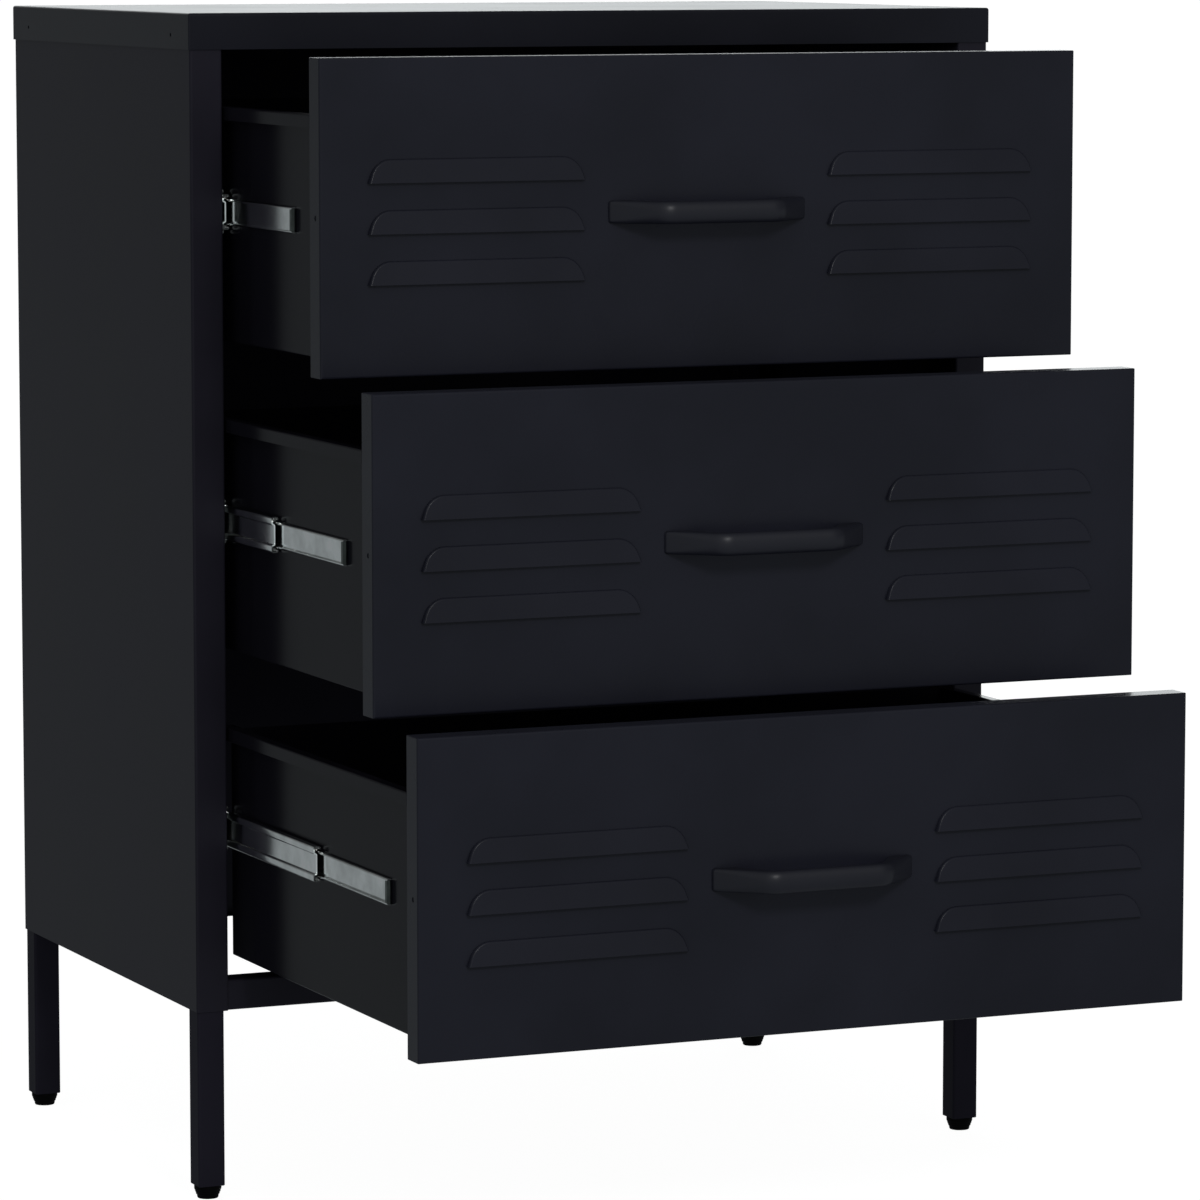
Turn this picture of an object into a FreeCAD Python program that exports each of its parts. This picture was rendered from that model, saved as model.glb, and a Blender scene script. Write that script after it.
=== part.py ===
import FreeCAD, Part
import math
import os
import Sketcher

# Sheet-steel drawer cabinet on four legs, with three drawers on ball-bearing slides.
# Millimetres, +Z up, the drawers open towards -Y, the origin under the middle of the open cabinet.

Vector = FreeCAD.Vector
doc = FreeCAD.newDocument("DrawerCabinet")

# Driving sizes
SIZES = [
    ("cabinet_width", 800, "over the cap"),
    ("cabinet_depth", 500, "over the cap"),
    ("cap_height", 32.5, "the cap's flanges"),
    ("cap_steel", 1.2, "sheet of the cap"),
    ("cap_bend", 1.8, "outside radius of the cap's folds"),
    ("cap_fit", 0.2, "play between the cap's flanges and the side panels"),
    ("cap_hole", 3, "hanging holes in its side flanges"),
    ("cap_hole_inset", 48, "those holes from the front and rear edges"),
    ("cap_hole_drop", 20, "those holes below the top"),
    ("side_steel", 1.2, "sheet of the side panels"),
    ("side_bend", 2, "outside radius of their folds"),
    ("post_width", 30.5, "front and rear flanges of a side panel"),
    ("post_return", 60, "returns that carry the slides"),
    ("back_steel", 0.8, "sheet of the back panel"),
    ("back_flange", 14, "flanges of the back panel"),
    ("leg_width", 25.4, "square tube"),
    ("leg_wall", 1.5, "wall of the tube"),
    ("leg_corner", 2, "outside corner radius of the tube"),
    ("leg_reach", 161.6, "leg below the side panel"),
    ("leg_lap", 120, "leg inside the side panel"),
    ("foot_height", 12.4, "floor to the leg"),
    ("foot_top", 24, "upper diameter of a foot"),
    ("foot_base", 17.5, "lower diameter of a foot"),
    ("foot_plug", 18, "square plug of a foot inside its leg"),
    ("rail_height", 28, "rail below the drawers"),
    ("rail_depth", 25, "flanges of that rail"),
    ("rail_gap", 3, "rail to the lowest front"),
    ("drawer_gap", 4, "between two fronts"),
    ("cap_gap", 2.5, "highest front to the cap"),
    ("front_height", 276, "drawer front"),
    ("front_depth", 24, "flanges of a front"),
    ("front_steel", 1, "sheet of a front"),
    ("front_soften", 1.6, "radius of a front's face edges"),
    ("front_side_gap", 2.3, "front to the post"),
    ("flange_hole", 3, "hole in the front's side flange"),
    ("flange_hole_depth", 10.5, "that hole behind the face"),
    ("flange_hole_rise", 138.3, "that hole above the front's bottom"),
    ("louvre_length", 204.2, "louvre at its mouth"),
    ("louvre_height", 20.6, "louvre"),
    ("louvre_mouth", 5, "how far its lower edge stands out"),
    ("louvre_brow", 0.8, "how far its upper edge stands out"),
    ("louvre_corner", 20, "radius of its upper corners"),
    ("louvre_lean", 20, "lean of its ends in degrees"),
    ("louvre_inset", 43.9, "front's edge to the louvre"),
    ("louvre_rise", 80, "lowest louvre above the front's bottom"),
    ("louvre_pitch", 44, "louvre to louvre"),
    ("louvre_rows", 3, "louvres in a column"),
    ("handle_length", 190, "over the feet"),
    ("handle_height", 20, "upright"),
    ("handle_reach", 40, "in front of the drawer front"),
    ("handle_thickness", 9, "bar"),
    ("handle_bar", 112, "straight part between the bends"),
    ("handle_foot", 22, "length of a foot on the front"),
    ("handle_bend", 16, "outer radius of the bends"),
    ("handle_edge", 3, "bevel along the bar's front"),
    ("handle_rise", 139, "handle's middle above the front's bottom"),
    ("screw_width", 4, "thread of the handle screws"),
    ("screw_fit", 0.2, "play round that thread"),
    ("screw_grip", 8, "thread in the handle"),
    ("screw_head_width", 7, "hexagon head across the flats"),
    ("screw_head_height", 2.8, "hexagon head"),
    ("tray_steel", 0.9, "sheet of the drawer tray"),
    ("tray_length", 477, "tray behind the front's face"),
    ("tray_rise", 15.8, "tray above the front's bottom"),
    ("tray_drop", 48.5, "tray's rim below the front's top"),
    ("tray_lip", 12, "downturned lip of the rim"),
    ("tray_clear", 0.6, "rim to the front's flange"),
    ("tray_back_inset", 25, "back wall before the tray's end"),
    ("wall_tab", 12, "tabs of the inner front wall"),
    ("slide_rise", 133, "slide's middle above the front's bottom"),
    ("slide_thickness", 12.7, "post to tray"),
    ("slide_length", 450, "cabinet and middle rails"),
    ("slide_steel", 1.2, "sheet of the rails"),
    ("slide_setback", 0.6, "cabinet rail behind the closed front's flange"),
    ("middle_setback", 1, "closed middle rail behind the cabinet rail"),
    ("outer_rail_height", 40, "cabinet rail"),
    ("outer_rail_reach", 9.6, "flanges of the cabinet rail"),
    ("outer_rail_lip", 3, "lips of the cabinet rail"),
    ("middle_rail_height", 31.8, "middle rail"),
    ("middle_rail_standoff", 4.8, "post to the middle rail"),
    ("middle_rail_step", 2.2, "step of its web"),
    ("middle_rail_band", 7.3, "raised band above and below the web"),
    ("middle_rail_flange", 6.4, "flanges of the middle rail"),
    ("middle_rail_lip", 2.5, "lips of the middle rail"),
    ("inner_rail_height", 23.4, "drawer rail"),
    ("inner_rail_flange", 4.1, "flanges of the drawer rail"),
    ("inner_rail_lip", 1.8, "lips of the drawer rail"),
    ("inner_rail_length", 370, "drawer rail"),
    ("inner_rail_setback", 85, "drawer rail behind the front's face"),
    ("retainer_length", 196, "ball retainers"),
    ("retainer_width", 3, "ball retainers"),
    ("retainer_margin", 3, "retainer from the rail's end when fully open"),
    ("running_gap", 0.3, "retainer to either ball track"),
    ("drawer_travel", 224, "drawer rail out of the middle rail"),
    ("carriage_travel", 230.2, "middle rail out of the cabinet rail"),
    ("top_pull", 234.8, "top drawer as shown"),
    ("middle_pull", 355, "middle drawer as shown"),
    ("bottom_pull", 454.2, "bottom drawer as shown"),
]

# Sizes that follow from them
FOLLOWING = [
    ("side_inset", "cap_steel + cap_fit", "side panel's face inside the cap's edge"),
    ("side_half", "cabinet_width / 2 - side_inset", "middle to the side panel's face"),
    ("side_depth", "cabinet_depth - 2 * side_inset", "side panel front to rear"),
    ("mount_half", "side_half - post_width", "middle to the slide's mounting plane"),
    ("opening_width", "2 * mount_half", "between the posts"),
    ("body_bottom", "foot_height + leg_reach", "underside of the side panels"),
    ("bottom_front", "body_bottom + rail_height + rail_gap", "underside of the lowest front"),
    ("middle_front", "bottom_front + front_height + drawer_gap", "underside of the middle front"),
    ("top_front", "middle_front + front_height + drawer_gap", "underside of the highest front"),
    ("cap_bottom", "top_front + front_height + cap_gap", "lower edge of the cap"),
    ("cabinet_height", "cap_bottom + cap_height", "floor to top"),
    ("body_height", "cabinet_height - cap_steel - body_bottom", "side panels and back panel"),
    ("front_half", "mount_half - front_side_gap", "middle to a front's edge"),
    ("front_width", "2 * front_half", "drawer front"),
    ("tray_half", "mount_half - slide_thickness", "middle to the tray's side"),
    ("tray_inside", "2 * (tray_half - tray_steel)", "inside width of the tray"),
    ("tray_height", "front_height - tray_drop - tray_rise", "tray over its floor"),
    ("tray_inner_height", "tray_height - tray_steel", "inside height of the tray"),
    ("tray_run", "tray_length - front_steel", "tray behind the front's sheet"),
    ("rim_width", "front_half - tray_half + tray_steel", "rim of the tray"),
    ("front_plane", "(bottom_pull + handle_reach - side_inset - cabinet_depth) / 2",
     "cap's front edge from the origin"),
    ("closed_plane", "front_plane + side_inset", "closed fronts' faces"),
    ("rail_plane", "closed_plane + front_depth + slide_setback", "front end of the cabinet rails"),
    ("middle_plane", "rail_plane + middle_setback", "front end of the closed middle rails"),
    ("top_carriage_pull", "top_pull - drawer_travel", "middle rails of the top drawer as shown"),
    ("middle_carriage_pull", "middle_pull - drawer_travel", "those of the middle drawer"),
    ("bottom_carriage_pull", "bottom_pull - drawer_travel", "those of the bottom drawer"),
    ("middle_web", "middle_rail_height - 2 * middle_rail_band", "web between the bands"),
    ("outer_track", "outer_rail_height / 2 - slide_steel", "slide's middle to the outer track"),
    ("outer_ball_gap", "outer_track - middle_rail_height / 2", "for the outer balls"),
    ("inner_track", "middle_rail_height / 2 - slide_steel", "slide's middle to the inner track"),
    ("inner_ball_gap", "inner_track - inner_rail_height / 2", "for the inner balls"),
    ("outer_retainer_start", "carriage_travel / 2 + retainer_margin",
     "closed outer retainer behind the cabinet rail's end"),
    ("inner_retainer_start", "drawer_travel / 2 + retainer_margin",
     "closed inner retainer behind the middle rail's end"),
    ("handle_screw_spacing", "handle_length - handle_foot - screw_width", "between the handle screws"),
    ("handle_inner_bend", "handle_bend - handle_thickness", "inner radius of the bends"),
]

sheet = doc.addObject("Spreadsheet::Sheet", "Sizes")
row = 0
for alias, number, note in SIZES + FOLLOWING:
    row = row + 1
    is_formula = isinstance(number, str)
    sheet.set(f"A{row}", alias)
    sheet.set(f"B{row}", "=" + number if is_formula else str(number))
    sheet.set(f"C{row}", note)
    sheet.setAlias(f"B{row}", alias)
doc.recompute()


def size(term):
    """Number of an alias of the sheet, which may carry a minus sign."""
    if term.startswith("-"):
        return -float(sheet.get(term[1:]))
    return float(sheet.get(term))


def bind(thing, prop, expression):
    """Ties a property to the sheet, whose name stands before each alias."""
    thing.setExpression(prop, expression)


def place(thing, x="0", y="0", z="0"):
    """Ties a sub-part's place to the sheet."""
    bind(thing, "Placement.Base.x", x)
    bind(thing, "Placement.Base.y", y)
    bind(thing, "Placement.Base.z", z)


# The three ways a section can lie: across the run along Z, along Y and along X
PLAN = FreeCAD.Rotation()
FACING = FreeCAD.Rotation(Vector(1, 0, 0), 90)
SIDEWAYS = FreeCAD.Rotation(Vector(0, 1, 0), Vector(0, 0, 1), Vector(1, 0, 0), "ZXY")
# Each with its run's direction and the sign that lays the steel on the right hand of the path
RUNS = {
    "plan": (PLAN, Vector(0, 0, 1), "1"),
    "facing": (FACING, Vector(0, 1, 0), "-1"),
    "sideways": (SIDEWAYS, Vector(1, 0, 0), "1"),
}
HEADINGS = {
    "right": Vector(1, 0, 0),
    "up": Vector(0, 1, 0),
    "left": Vector(-1, 0, 0),
    "down": Vector(0, -1, 0),
}


def fold_path(name, legs, bend, rounded):
    """Sketch of a sheet's fold line, from its origin, with arcs at the rounded corners."""
    sketch = doc.addObject("Sketcher::SketchObject", name)
    radius = size(bend) if bend else 0
    corners = len(legs) - 1
    at = Vector(0, 0, 0)
    previous = None
    for number, (heading, length) in enumerate(legs):
        ahead = HEADINGS[heading]
        begins_round = number - 1 in rounded
        ends_round = number in rounded and number < corners
        trims = int(begins_round) + int(ends_round)
        straight = size(length) - trims * radius
        line = sketch.addGeometry(Part.LineSegment(at, at + ahead * straight))
        level = "Horizontal" if ahead.y == 0 else "Vertical"
        sketch.addConstraint(Sketcher.Constraint(level, line))
        distance = sketch.addConstraint(Sketcher.Constraint("Distance", line, straight))
        trim = f" - {trims} * Sizes.{bend}" if trims else ""
        bind(sketch, f"Constraints[{distance}]", f"Sizes.{length}{trim}")
        if previous is None:
            sketch.addConstraint(Sketcher.Constraint("Coincident", line, 1, -1, 1))
        elif not begins_round:
            sketch.addConstraint(Sketcher.Constraint("Coincident", line, 1, *previous))
        else:
            sketch.addConstraint(Sketcher.Constraint("Tangent", line, 1, *previous))
        at = at + ahead * straight
        previous = (line, 2)
        if ends_round:
            following = HEADINGS[legs[number + 1][0]]
            left_turn = ahead.cross(following).z > 0
            centre = at + following * radius
            first = at - centre
            last = ahead
            opening, closing = (first, last) if left_turn else (last, first)
            start_angle = math.atan2(opening.y, opening.x)
            arc_circle = Part.Circle(centre, Vector(0, 0, 1), radius)
            arc = sketch.addGeometry(Part.ArcOfCircle(arc_circle, start_angle, start_angle + math.pi / 2))
            arc_in, arc_out = (1, 2) if left_turn else (2, 1)
            sketch.addConstraint(Sketcher.Constraint("Tangent", line, 2, arc, arc_in))
            bound = sketch.addConstraint(Sketcher.Constraint("Radius", arc, radius))
            bind(sketch, f"Constraints[{bound}]", f"Sizes.{bend}")
            at = centre + ahead * radius
            previous = (arc, arc_out)
    return sketch


def folded(name, legs, steel, run, way, bend=None, rounded=()):
    """Folded sheet whose steel lies on the right hand of its path, pulled along its run."""
    turn, direction, hand = RUNS[way]
    path = fold_path(name + "_path", legs, bend, rounded)
    path.Placement.Rotation = turn
    section = doc.addObject("Part::Offset2D", name + "_section")
    section.Source = path
    section.Mode = "Skin"
    section.Join = "Intersection"
    section.Fill = True
    bind(section, "Value", f"{hand} * Sizes.{steel}")
    sheet_metal = doc.addObject("Part::Extrusion", name)
    sheet_metal.Base = section
    sheet_metal.DirMode = "Custom"
    sheet_metal.Dir = direction
    sheet_metal.Solid = True
    bind(sheet_metal, "LengthFwd", f"Sizes.{run}")
    return sheet_metal


def mirrored(name, source):
    """Mirror image of a left-hand sub-part across the cabinet's middle."""
    image = doc.addObject("Part::Mirroring", name)
    image.Source = source
    image.Normal = Vector(1, 0, 0)
    image.Base = Vector(0, 0, 0)
    return image


LENGTHWISE = FreeCAD.Rotation(Vector(0, 0, 1), Vector(0, 1, 0))


def rod(name, diameter, length, x="0", y="0", z="0"):
    """Round bar that runs from the drawer's front to its back."""
    bar = doc.addObject("Part::Cylinder", name)
    bind(bar, "Radius", f"({diameter}) / 2")
    bind(bar, "Height", length)
    bar.Placement.Rotation = LENGTHWISE
    place(bar, x, y, z)
    return bar


def block(name, width, depth, height, x="0", y="0", z="0"):
    """Box from its left front lower corner."""
    box = doc.addObject("Part::Box", name)
    bind(box, "Length", width)
    bind(box, "Width", depth)
    bind(box, "Height", height)
    place(box, x, y, z)
    return box


def joined(name, kind, pieces):
    """Fuse of touching pieces, or compound of separate ones."""
    group = doc.addObject(kind, name)
    if kind == "Part::Compound":
        group.Links = pieces
    else:
        group.Shapes = pieces
    return group


def cut(name, base, tool):
    """Base without the tool."""
    rest = doc.addObject("Part::Cut", name)
    rest.Base = base
    rest.Tool = tool
    return rest


def new_body(name):
    """Solid that is made feature by feature."""
    return doc.addObject("PartDesign::Body", name)


def origin_plane(body, role):
    """Plane of a body's origin by its role."""
    return next(feature for feature in body.Origin.OriginFeatures if feature.Role == role)


def sketch_on(body, name, role, lift=None):
    """Sketch on a plane of its body's origin, lifted off it by an expression."""
    sketch = body.newObject("Sketcher::SketchObject", name)
    sketch.AttachmentSupport = (origin_plane(body, role), [""])
    sketch.MapMode = "FlatFace"
    if lift is not None:
        bind(sketch, "AttachmentOffset.Base.z", lift)
    return sketch


def dimension(sketch, kind, expression, value, *references):
    """Dimension of a sketch, tied to the sheet."""
    number = sketch.addConstraint(Sketcher.Constraint(kind, *references, value))
    bind(sketch, f"Constraints[{number}]", expression)


def rectangle(sketch, left, bottom, width, height):
    """Rectangle from distances left of and above the origin; each term is (expression, number)."""
    x = -left[1]
    y = bottom[1]
    right = x + width[1]
    top = y + height[1]
    points = [Vector(x, y), Vector(right, y), Vector(right, top), Vector(x, top)]
    lines = []
    for number in range(4):
        lines.append(sketch.addGeometry(Part.LineSegment(points[number], points[(number + 1) % 4])))
    for number in range(4):
        following = lines[(number + 1) % 4]
        sketch.addConstraint(Sketcher.Constraint("Coincident", lines[number], 2, following, 1))
        level = "Vertical" if number % 2 else "Horizontal"
        sketch.addConstraint(Sketcher.Constraint(level, lines[number]))
    dimension(sketch, "Distance", width[0], width[1], lines[0])
    dimension(sketch, "Distance", height[0], height[1], lines[1])
    dimension(sketch, "DistanceX", left[0], left[1], lines[0], 1, -1, 1)
    if bottom[1] == 0:
        sketch.addConstraint(Sketcher.Constraint("PointOnObject", lines[0], 1, -1))
    else:
        dimension(sketch, "DistanceY", bottom[0], bottom[1], -1, 1, lines[0], 1)


def chosen_edges(base, chosen):
    """Names of a feature's edges that pass a test."""
    doc.recompute()
    return [f"Edge{number + 1}" for number, edge in enumerate(base.Shape.Edges) if chosen(edge)]


def round_edges(body, base, name, radius, chosen):
    """Rounds the chosen edges."""
    fillet = body.newObject("PartDesign::Fillet", name)
    fillet.Base = (base, chosen_edges(base, chosen))
    bind(fillet, "Radius", radius)
    return fillet


def bevel_edges(body, base, name, width, chosen):
    """Bevels the chosen edges."""
    chamfer = body.newObject("PartDesign::Chamfer", name)
    chamfer.Base = (base, chosen_edges(base, chosen))
    bind(chamfer, "Size", width)
    return chamfer


def runs_along(edge, axis):
    """Whether a straight edge lies along an axis."""
    if not isinstance(edge.Curve, Part.Line):
        return False
    return abs(edge.tangentAt(edge.FirstParameter).dot(axis)) > 0.999


def pad(body, profile, name, length, backwards=False):
    """Adds a profile's block."""
    feature = body.newObject("PartDesign::Pad", name)
    feature.Profile = profile
    bind(feature, "Length", length)
    feature.Reversed = backwards
    return feature


def pocket(body, profile, name, length, backwards=False):
    """Takes a profile's block away."""
    feature = body.newObject("PartDesign::Pocket", name)
    feature.Profile = profile
    bind(feature, "Length", length)
    feature.Reversed = backwards
    return feature


def circle(sketch, expression, diameter, x, y):
    """Circle whose middle is tied in two directions; x and y are (expression, number)."""
    ring = sketch.addGeometry(Part.Circle(Vector(x[1], y[1]), Vector(0, 0, 1), diameter / 2))
    dimension(sketch, "Diameter", expression, diameter, ring)
    for kind, (term, number) in (("DistanceX", x), ("DistanceY", y)):
        dimension(sketch, kind, term, number, -1, 1, ring, 3)


def cap():
    """Folded top with its flanges and their hanging holes."""
    body = new_body("top_cap")
    width, depth, height = size("cabinet_width"), size("cabinet_depth"), size("cap_height")
    steel = size("cap_steel")
    outline = sketch_on(body, "cap_outline", "XY_Plane")
    rectangle(outline, ("Sizes.cabinet_width / 2", width / 2), ("0", 0),
              ("Sizes.cabinet_width", width), ("Sizes.cabinet_depth", depth))
    sheet_top = pad(body, outline, "cap_block", "Sizes.cap_height")
    round_edges(body, sheet_top, "cap_folds", "Sizes.cap_bend",
                lambda edge: edge.BoundBox.ZMin > height - 0.01)
    hollow = sketch_on(body, "cap_hollow_outline", "XY_Plane")
    rectangle(hollow, ("Sizes.cabinet_width / 2 - Sizes.cap_steel", width / 2 - steel),
              ("Sizes.cap_steel", steel),
              ("Sizes.cabinet_width - 2 * Sizes.cap_steel", width - 2 * steel),
              ("Sizes.cabinet_depth - 2 * Sizes.cap_steel", depth - 2 * steel))
    pocket(body, hollow, "cap_hollow", "Sizes.cap_height - Sizes.cap_steel", True)
    holes = sketch_on(body, "cap_hole_outlines", "YZ_Plane", "-Sizes.cabinet_width / 2")
    drop = height - size("cap_hole_drop")
    inset = size("cap_hole_inset")
    for term, at in (("Sizes.cap_hole_inset", inset),
                     ("Sizes.cabinet_depth - Sizes.cap_hole_inset", depth - inset)):
        circle(holes, "Sizes.cap_hole", size("cap_hole"), (term, at),
               ("Sizes.cap_height - Sizes.cap_hole_drop", drop))
    pocket(body, holes, "cap_holes", "Sizes.cabinet_width", True)
    place(body, y="Sizes.front_plane", z="Sizes.cap_bottom")
    return body


def side_panel():
    """Left side with its folded posts; the returns carry the slides."""
    legs = [("down", "post_return"), ("left", "post_width"), ("up", "side_depth"),
            ("right", "post_width"), ("down", "post_return")]
    panel = folded("left_side_panel", legs, "side_steel", "body_height", "plan", "side_bend", (0, 1))
    place(panel, "-Sizes.mount_half", "Sizes.closed_plane + Sizes.post_return", "Sizes.body_bottom")
    return panel


def back_panel():
    """Pan between the rear posts."""
    body = new_body("back_panel")
    width, height, flange = size("opening_width"), size("body_height"), size("back_flange")
    steel = size("back_steel")
    outline = sketch_on(body, "back_outline", "XZ_Plane")
    rectangle(outline, ("Sizes.opening_width / 2", width / 2), ("0", 0),
              ("Sizes.opening_width", width), ("Sizes.body_height", height))
    pad(body, outline, "back_block", "Sizes.back_flange")
    hollow = sketch_on(body, "back_hollow_outline", "XZ_Plane", "Sizes.back_steel")
    rectangle(hollow, ("Sizes.opening_width / 2 - Sizes.back_steel", width / 2 - steel),
              ("Sizes.back_steel", steel),
              ("Sizes.opening_width - 2 * Sizes.back_steel", width - 2 * steel),
              ("Sizes.body_height - 2 * Sizes.back_steel", height - 2 * steel))
    pocket(body, hollow, "back_hollow", "Sizes.back_flange", True)
    place(body, y="Sizes.closed_plane + Sizes.side_depth", z="Sizes.body_bottom")
    return body


def bottom_rail():
    """Channel between the front posts, below the lowest drawer."""
    legs = [("left", "rail_depth"), ("up", "rail_height"), ("right", "rail_depth")]
    rail = folded("bottom_rail", legs, "side_steel", "opening_width", "sideways")
    place(rail, "-Sizes.mount_half", "Sizes.closed_plane + Sizes.side_bend + Sizes.rail_depth",
          "Sizes.body_bottom")
    return rail


LEG_SPOTS = {
    "front_left": ("-Sizes.side_half + Sizes.side_steel + Sizes.leg_width / 2",
                   "Sizes.closed_plane + Sizes.side_steel + Sizes.leg_width / 2"),
    "front_right": ("Sizes.side_half - Sizes.side_steel - Sizes.leg_width / 2",
                    "Sizes.closed_plane + Sizes.side_steel + Sizes.leg_width / 2"),
    "rear_left": ("-Sizes.side_half + Sizes.side_steel + Sizes.leg_width / 2",
                  "Sizes.closed_plane + Sizes.side_depth - Sizes.side_steel - Sizes.leg_width / 2"),
    "rear_right": ("Sizes.side_half - Sizes.side_steel - Sizes.leg_width / 2",
                   "Sizes.closed_plane + Sizes.side_depth - Sizes.side_steel - Sizes.leg_width / 2"),
}


def leg(corner):
    """Square tube that runs up inside the folded post."""
    body = new_body(f"{corner}_leg")
    width, wall = size("leg_width"), size("leg_wall")
    outline = sketch_on(body, f"{corner}_leg_outline", "XY_Plane")
    half = ("Sizes.leg_width / 2", width / 2)
    across = ("Sizes.leg_width", width)
    rectangle(outline, half, ("-Sizes.leg_width / 2", -width / 2), across, across)
    bar = pad(body, outline, f"{corner}_leg_bar", "Sizes.leg_reach + Sizes.leg_lap")
    round_edges(body, bar, f"{corner}_leg_corners", "Sizes.leg_corner",
                lambda edge: runs_along(edge, Vector(0, 0, 1)))
    bore = sketch_on(body, f"{corner}_leg_bore_outline", "XY_Plane")
    inside = ("Sizes.leg_width - 2 * Sizes.leg_wall", width - 2 * wall)
    rectangle(bore, ("Sizes.leg_width / 2 - Sizes.leg_wall", width / 2 - wall),
              ("-Sizes.leg_width / 2 + Sizes.leg_wall", wall - width / 2), inside, inside)
    pocket(body, bore, f"{corner}_leg_bore", "Sizes.leg_reach + Sizes.leg_lap", True)
    place(body, *LEG_SPOTS[corner], "Sizes.foot_height")
    return body


def foot(corner):
    """Moulded foot: a round pad that tapers to the floor, and a square plug in the leg."""
    body = new_body(f"{corner}_foot")
    sketch = sketch_on(body, f"{corner}_foot_half", "XZ_Plane")
    base, top, height = size("foot_base") / 2, size("foot_top") / 2, size("foot_height")
    corners = [Vector(0, 0), Vector(base, 0), Vector(top, height), Vector(0, height)]
    count = len(corners)
    for number in range(count):
        sketch.addGeometry(Part.LineSegment(corners[number], corners[(number + 1) % count]))
    for number in range(count):
        sketch.addConstraint(Sketcher.Constraint("Coincident", number, 2, (number + 1) % count, 1))
    sketch.addConstraint(Sketcher.Constraint("Coincident", 0, 1, -1, 1))
    sketch.addConstraint(Sketcher.Constraint("Horizontal", 0))
    sketch.addConstraint(Sketcher.Constraint("Horizontal", 2))
    sketch.addConstraint(Sketcher.Constraint("Vertical", 3))
    dimension(sketch, "Distance", "Sizes.foot_base / 2", base, 0)
    dimension(sketch, "Distance", "Sizes.foot_top / 2", top, 2)
    dimension(sketch, "Distance", "Sizes.foot_height", height, 3)
    turned = body.newObject("PartDesign::Revolution", f"{corner}_foot_pad")
    turned.Profile = sketch
    turned.ReferenceAxis = (sketch, ["V_Axis"])
    turned.Angle = 360
    inside = size("leg_width") - 2 * size("leg_wall")
    square = sketch_on(body, f"{corner}_foot_plug_outline", "XY_Plane", "Sizes.foot_height")
    half = ("Sizes.leg_width / 2 - Sizes.leg_wall", inside / 2)
    across = ("Sizes.leg_width - 2 * Sizes.leg_wall", inside)
    rectangle(square, half, ("-Sizes.leg_width / 2 + Sizes.leg_wall", -inside / 2), across, across)
    pad(body, square, f"{corner}_foot_plug", "Sizes.foot_plug")
    place(body, *LEG_SPOTS[corner])
    return body


def louvre_outline(sketch, inward=None):
    """Louvre seen from the front: a long base, leaning ends and rounded upper corners.

    inward is the alias of the sheet that the outline is set in by, or None for the outside.
    """
    steel = size(inward) if inward else 0
    less = f" - Sizes.{inward}" if inward else ""
    lean = math.radians(size("louvre_lean"))
    set_in = steel / math.cos(lean)
    set_in_term = f"Sizes.{inward} / cos(Sizes.louvre_lean * 1 deg)" if inward else "0"
    length = size("louvre_length") - 2 * set_in
    height = size("louvre_height") - steel
    radius = size("louvre_corner") - steel
    middle = -(size("front_half") - size("louvre_inset") - size("louvre_length") / 2)
    rise = size("louvre_rise")
    reach = radius * math.tan((math.pi / 2 - lean) / 2)
    left = Vector(middle - length / 2, rise)
    right = Vector(middle + length / 2, rise)
    up_left = Vector(math.sin(lean), math.cos(lean))
    up_right = Vector(-math.sin(lean), math.cos(lean))
    side = height / math.cos(lean) - reach
    left_top = left + up_left * side
    right_top = right + up_right * side
    top_left = left + up_left * (side + reach) + Vector(reach, 0)
    top_right = right + up_right * (side + reach) - Vector(reach, 0)
    base = sketch.addGeometry(Part.LineSegment(left, right))
    right_end = sketch.addGeometry(Part.LineSegment(right, right_top))
    right_centre = top_right - Vector(0, radius)
    right_arc = sketch.addGeometry(Part.ArcOfCircle(Part.Circle(right_centre, Vector(0, 0, 1), radius),
                                                    lean, math.pi / 2))
    top = sketch.addGeometry(Part.LineSegment(top_right, top_left))
    left_centre = top_left - Vector(0, radius)
    left_arc = sketch.addGeometry(Part.ArcOfCircle(Part.Circle(left_centre, Vector(0, 0, 1), radius),
                                                   math.pi / 2, math.pi - lean))
    left_end = sketch.addGeometry(Part.LineSegment(left_top, left))
    sketch.addConstraint(Sketcher.Constraint("Horizontal", base))
    sketch.addConstraint(Sketcher.Constraint("Horizontal", top))
    sketch.addConstraint(Sketcher.Constraint("Coincident", base, 2, right_end, 1))
    sketch.addConstraint(Sketcher.Constraint("Tangent", right_end, 2, right_arc, 1))
    sketch.addConstraint(Sketcher.Constraint("Tangent", right_arc, 2, top, 1))
    sketch.addConstraint(Sketcher.Constraint("Tangent", top, 2, left_arc, 1))
    sketch.addConstraint(Sketcher.Constraint("Tangent", left_arc, 2, left_end, 1))
    sketch.addConstraint(Sketcher.Constraint("Coincident", left_end, 2, base, 1))
    sketch.addConstraint(Sketcher.Constraint("Equal", left_arc, right_arc))
    sketch.addConstraint(Sketcher.Constraint("Equal", left_end, right_end))
    dimension(sketch, "Radius", f"Sizes.louvre_corner{less}", radius, right_arc)
    dimension(sketch, "Angle", "90 deg - Sizes.louvre_lean * 1 deg", math.pi / 2 - lean,
              base, 1, left_end, 2)
    dimension(sketch, "Distance", f"Sizes.louvre_length - 2 * {set_in_term}", length, base)
    dimension(sketch, "DistanceY", f"Sizes.louvre_height{less}", height, base, 1, top, 2)
    dimension(sketch, "DistanceY", "Sizes.louvre_rise", rise, -1, 1, base, 1)
    dimension(sketch, "DistanceX", f"Sizes.front_half - Sizes.louvre_inset - {set_in_term}", -left.x,
              base, 1, -1, 1)


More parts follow.
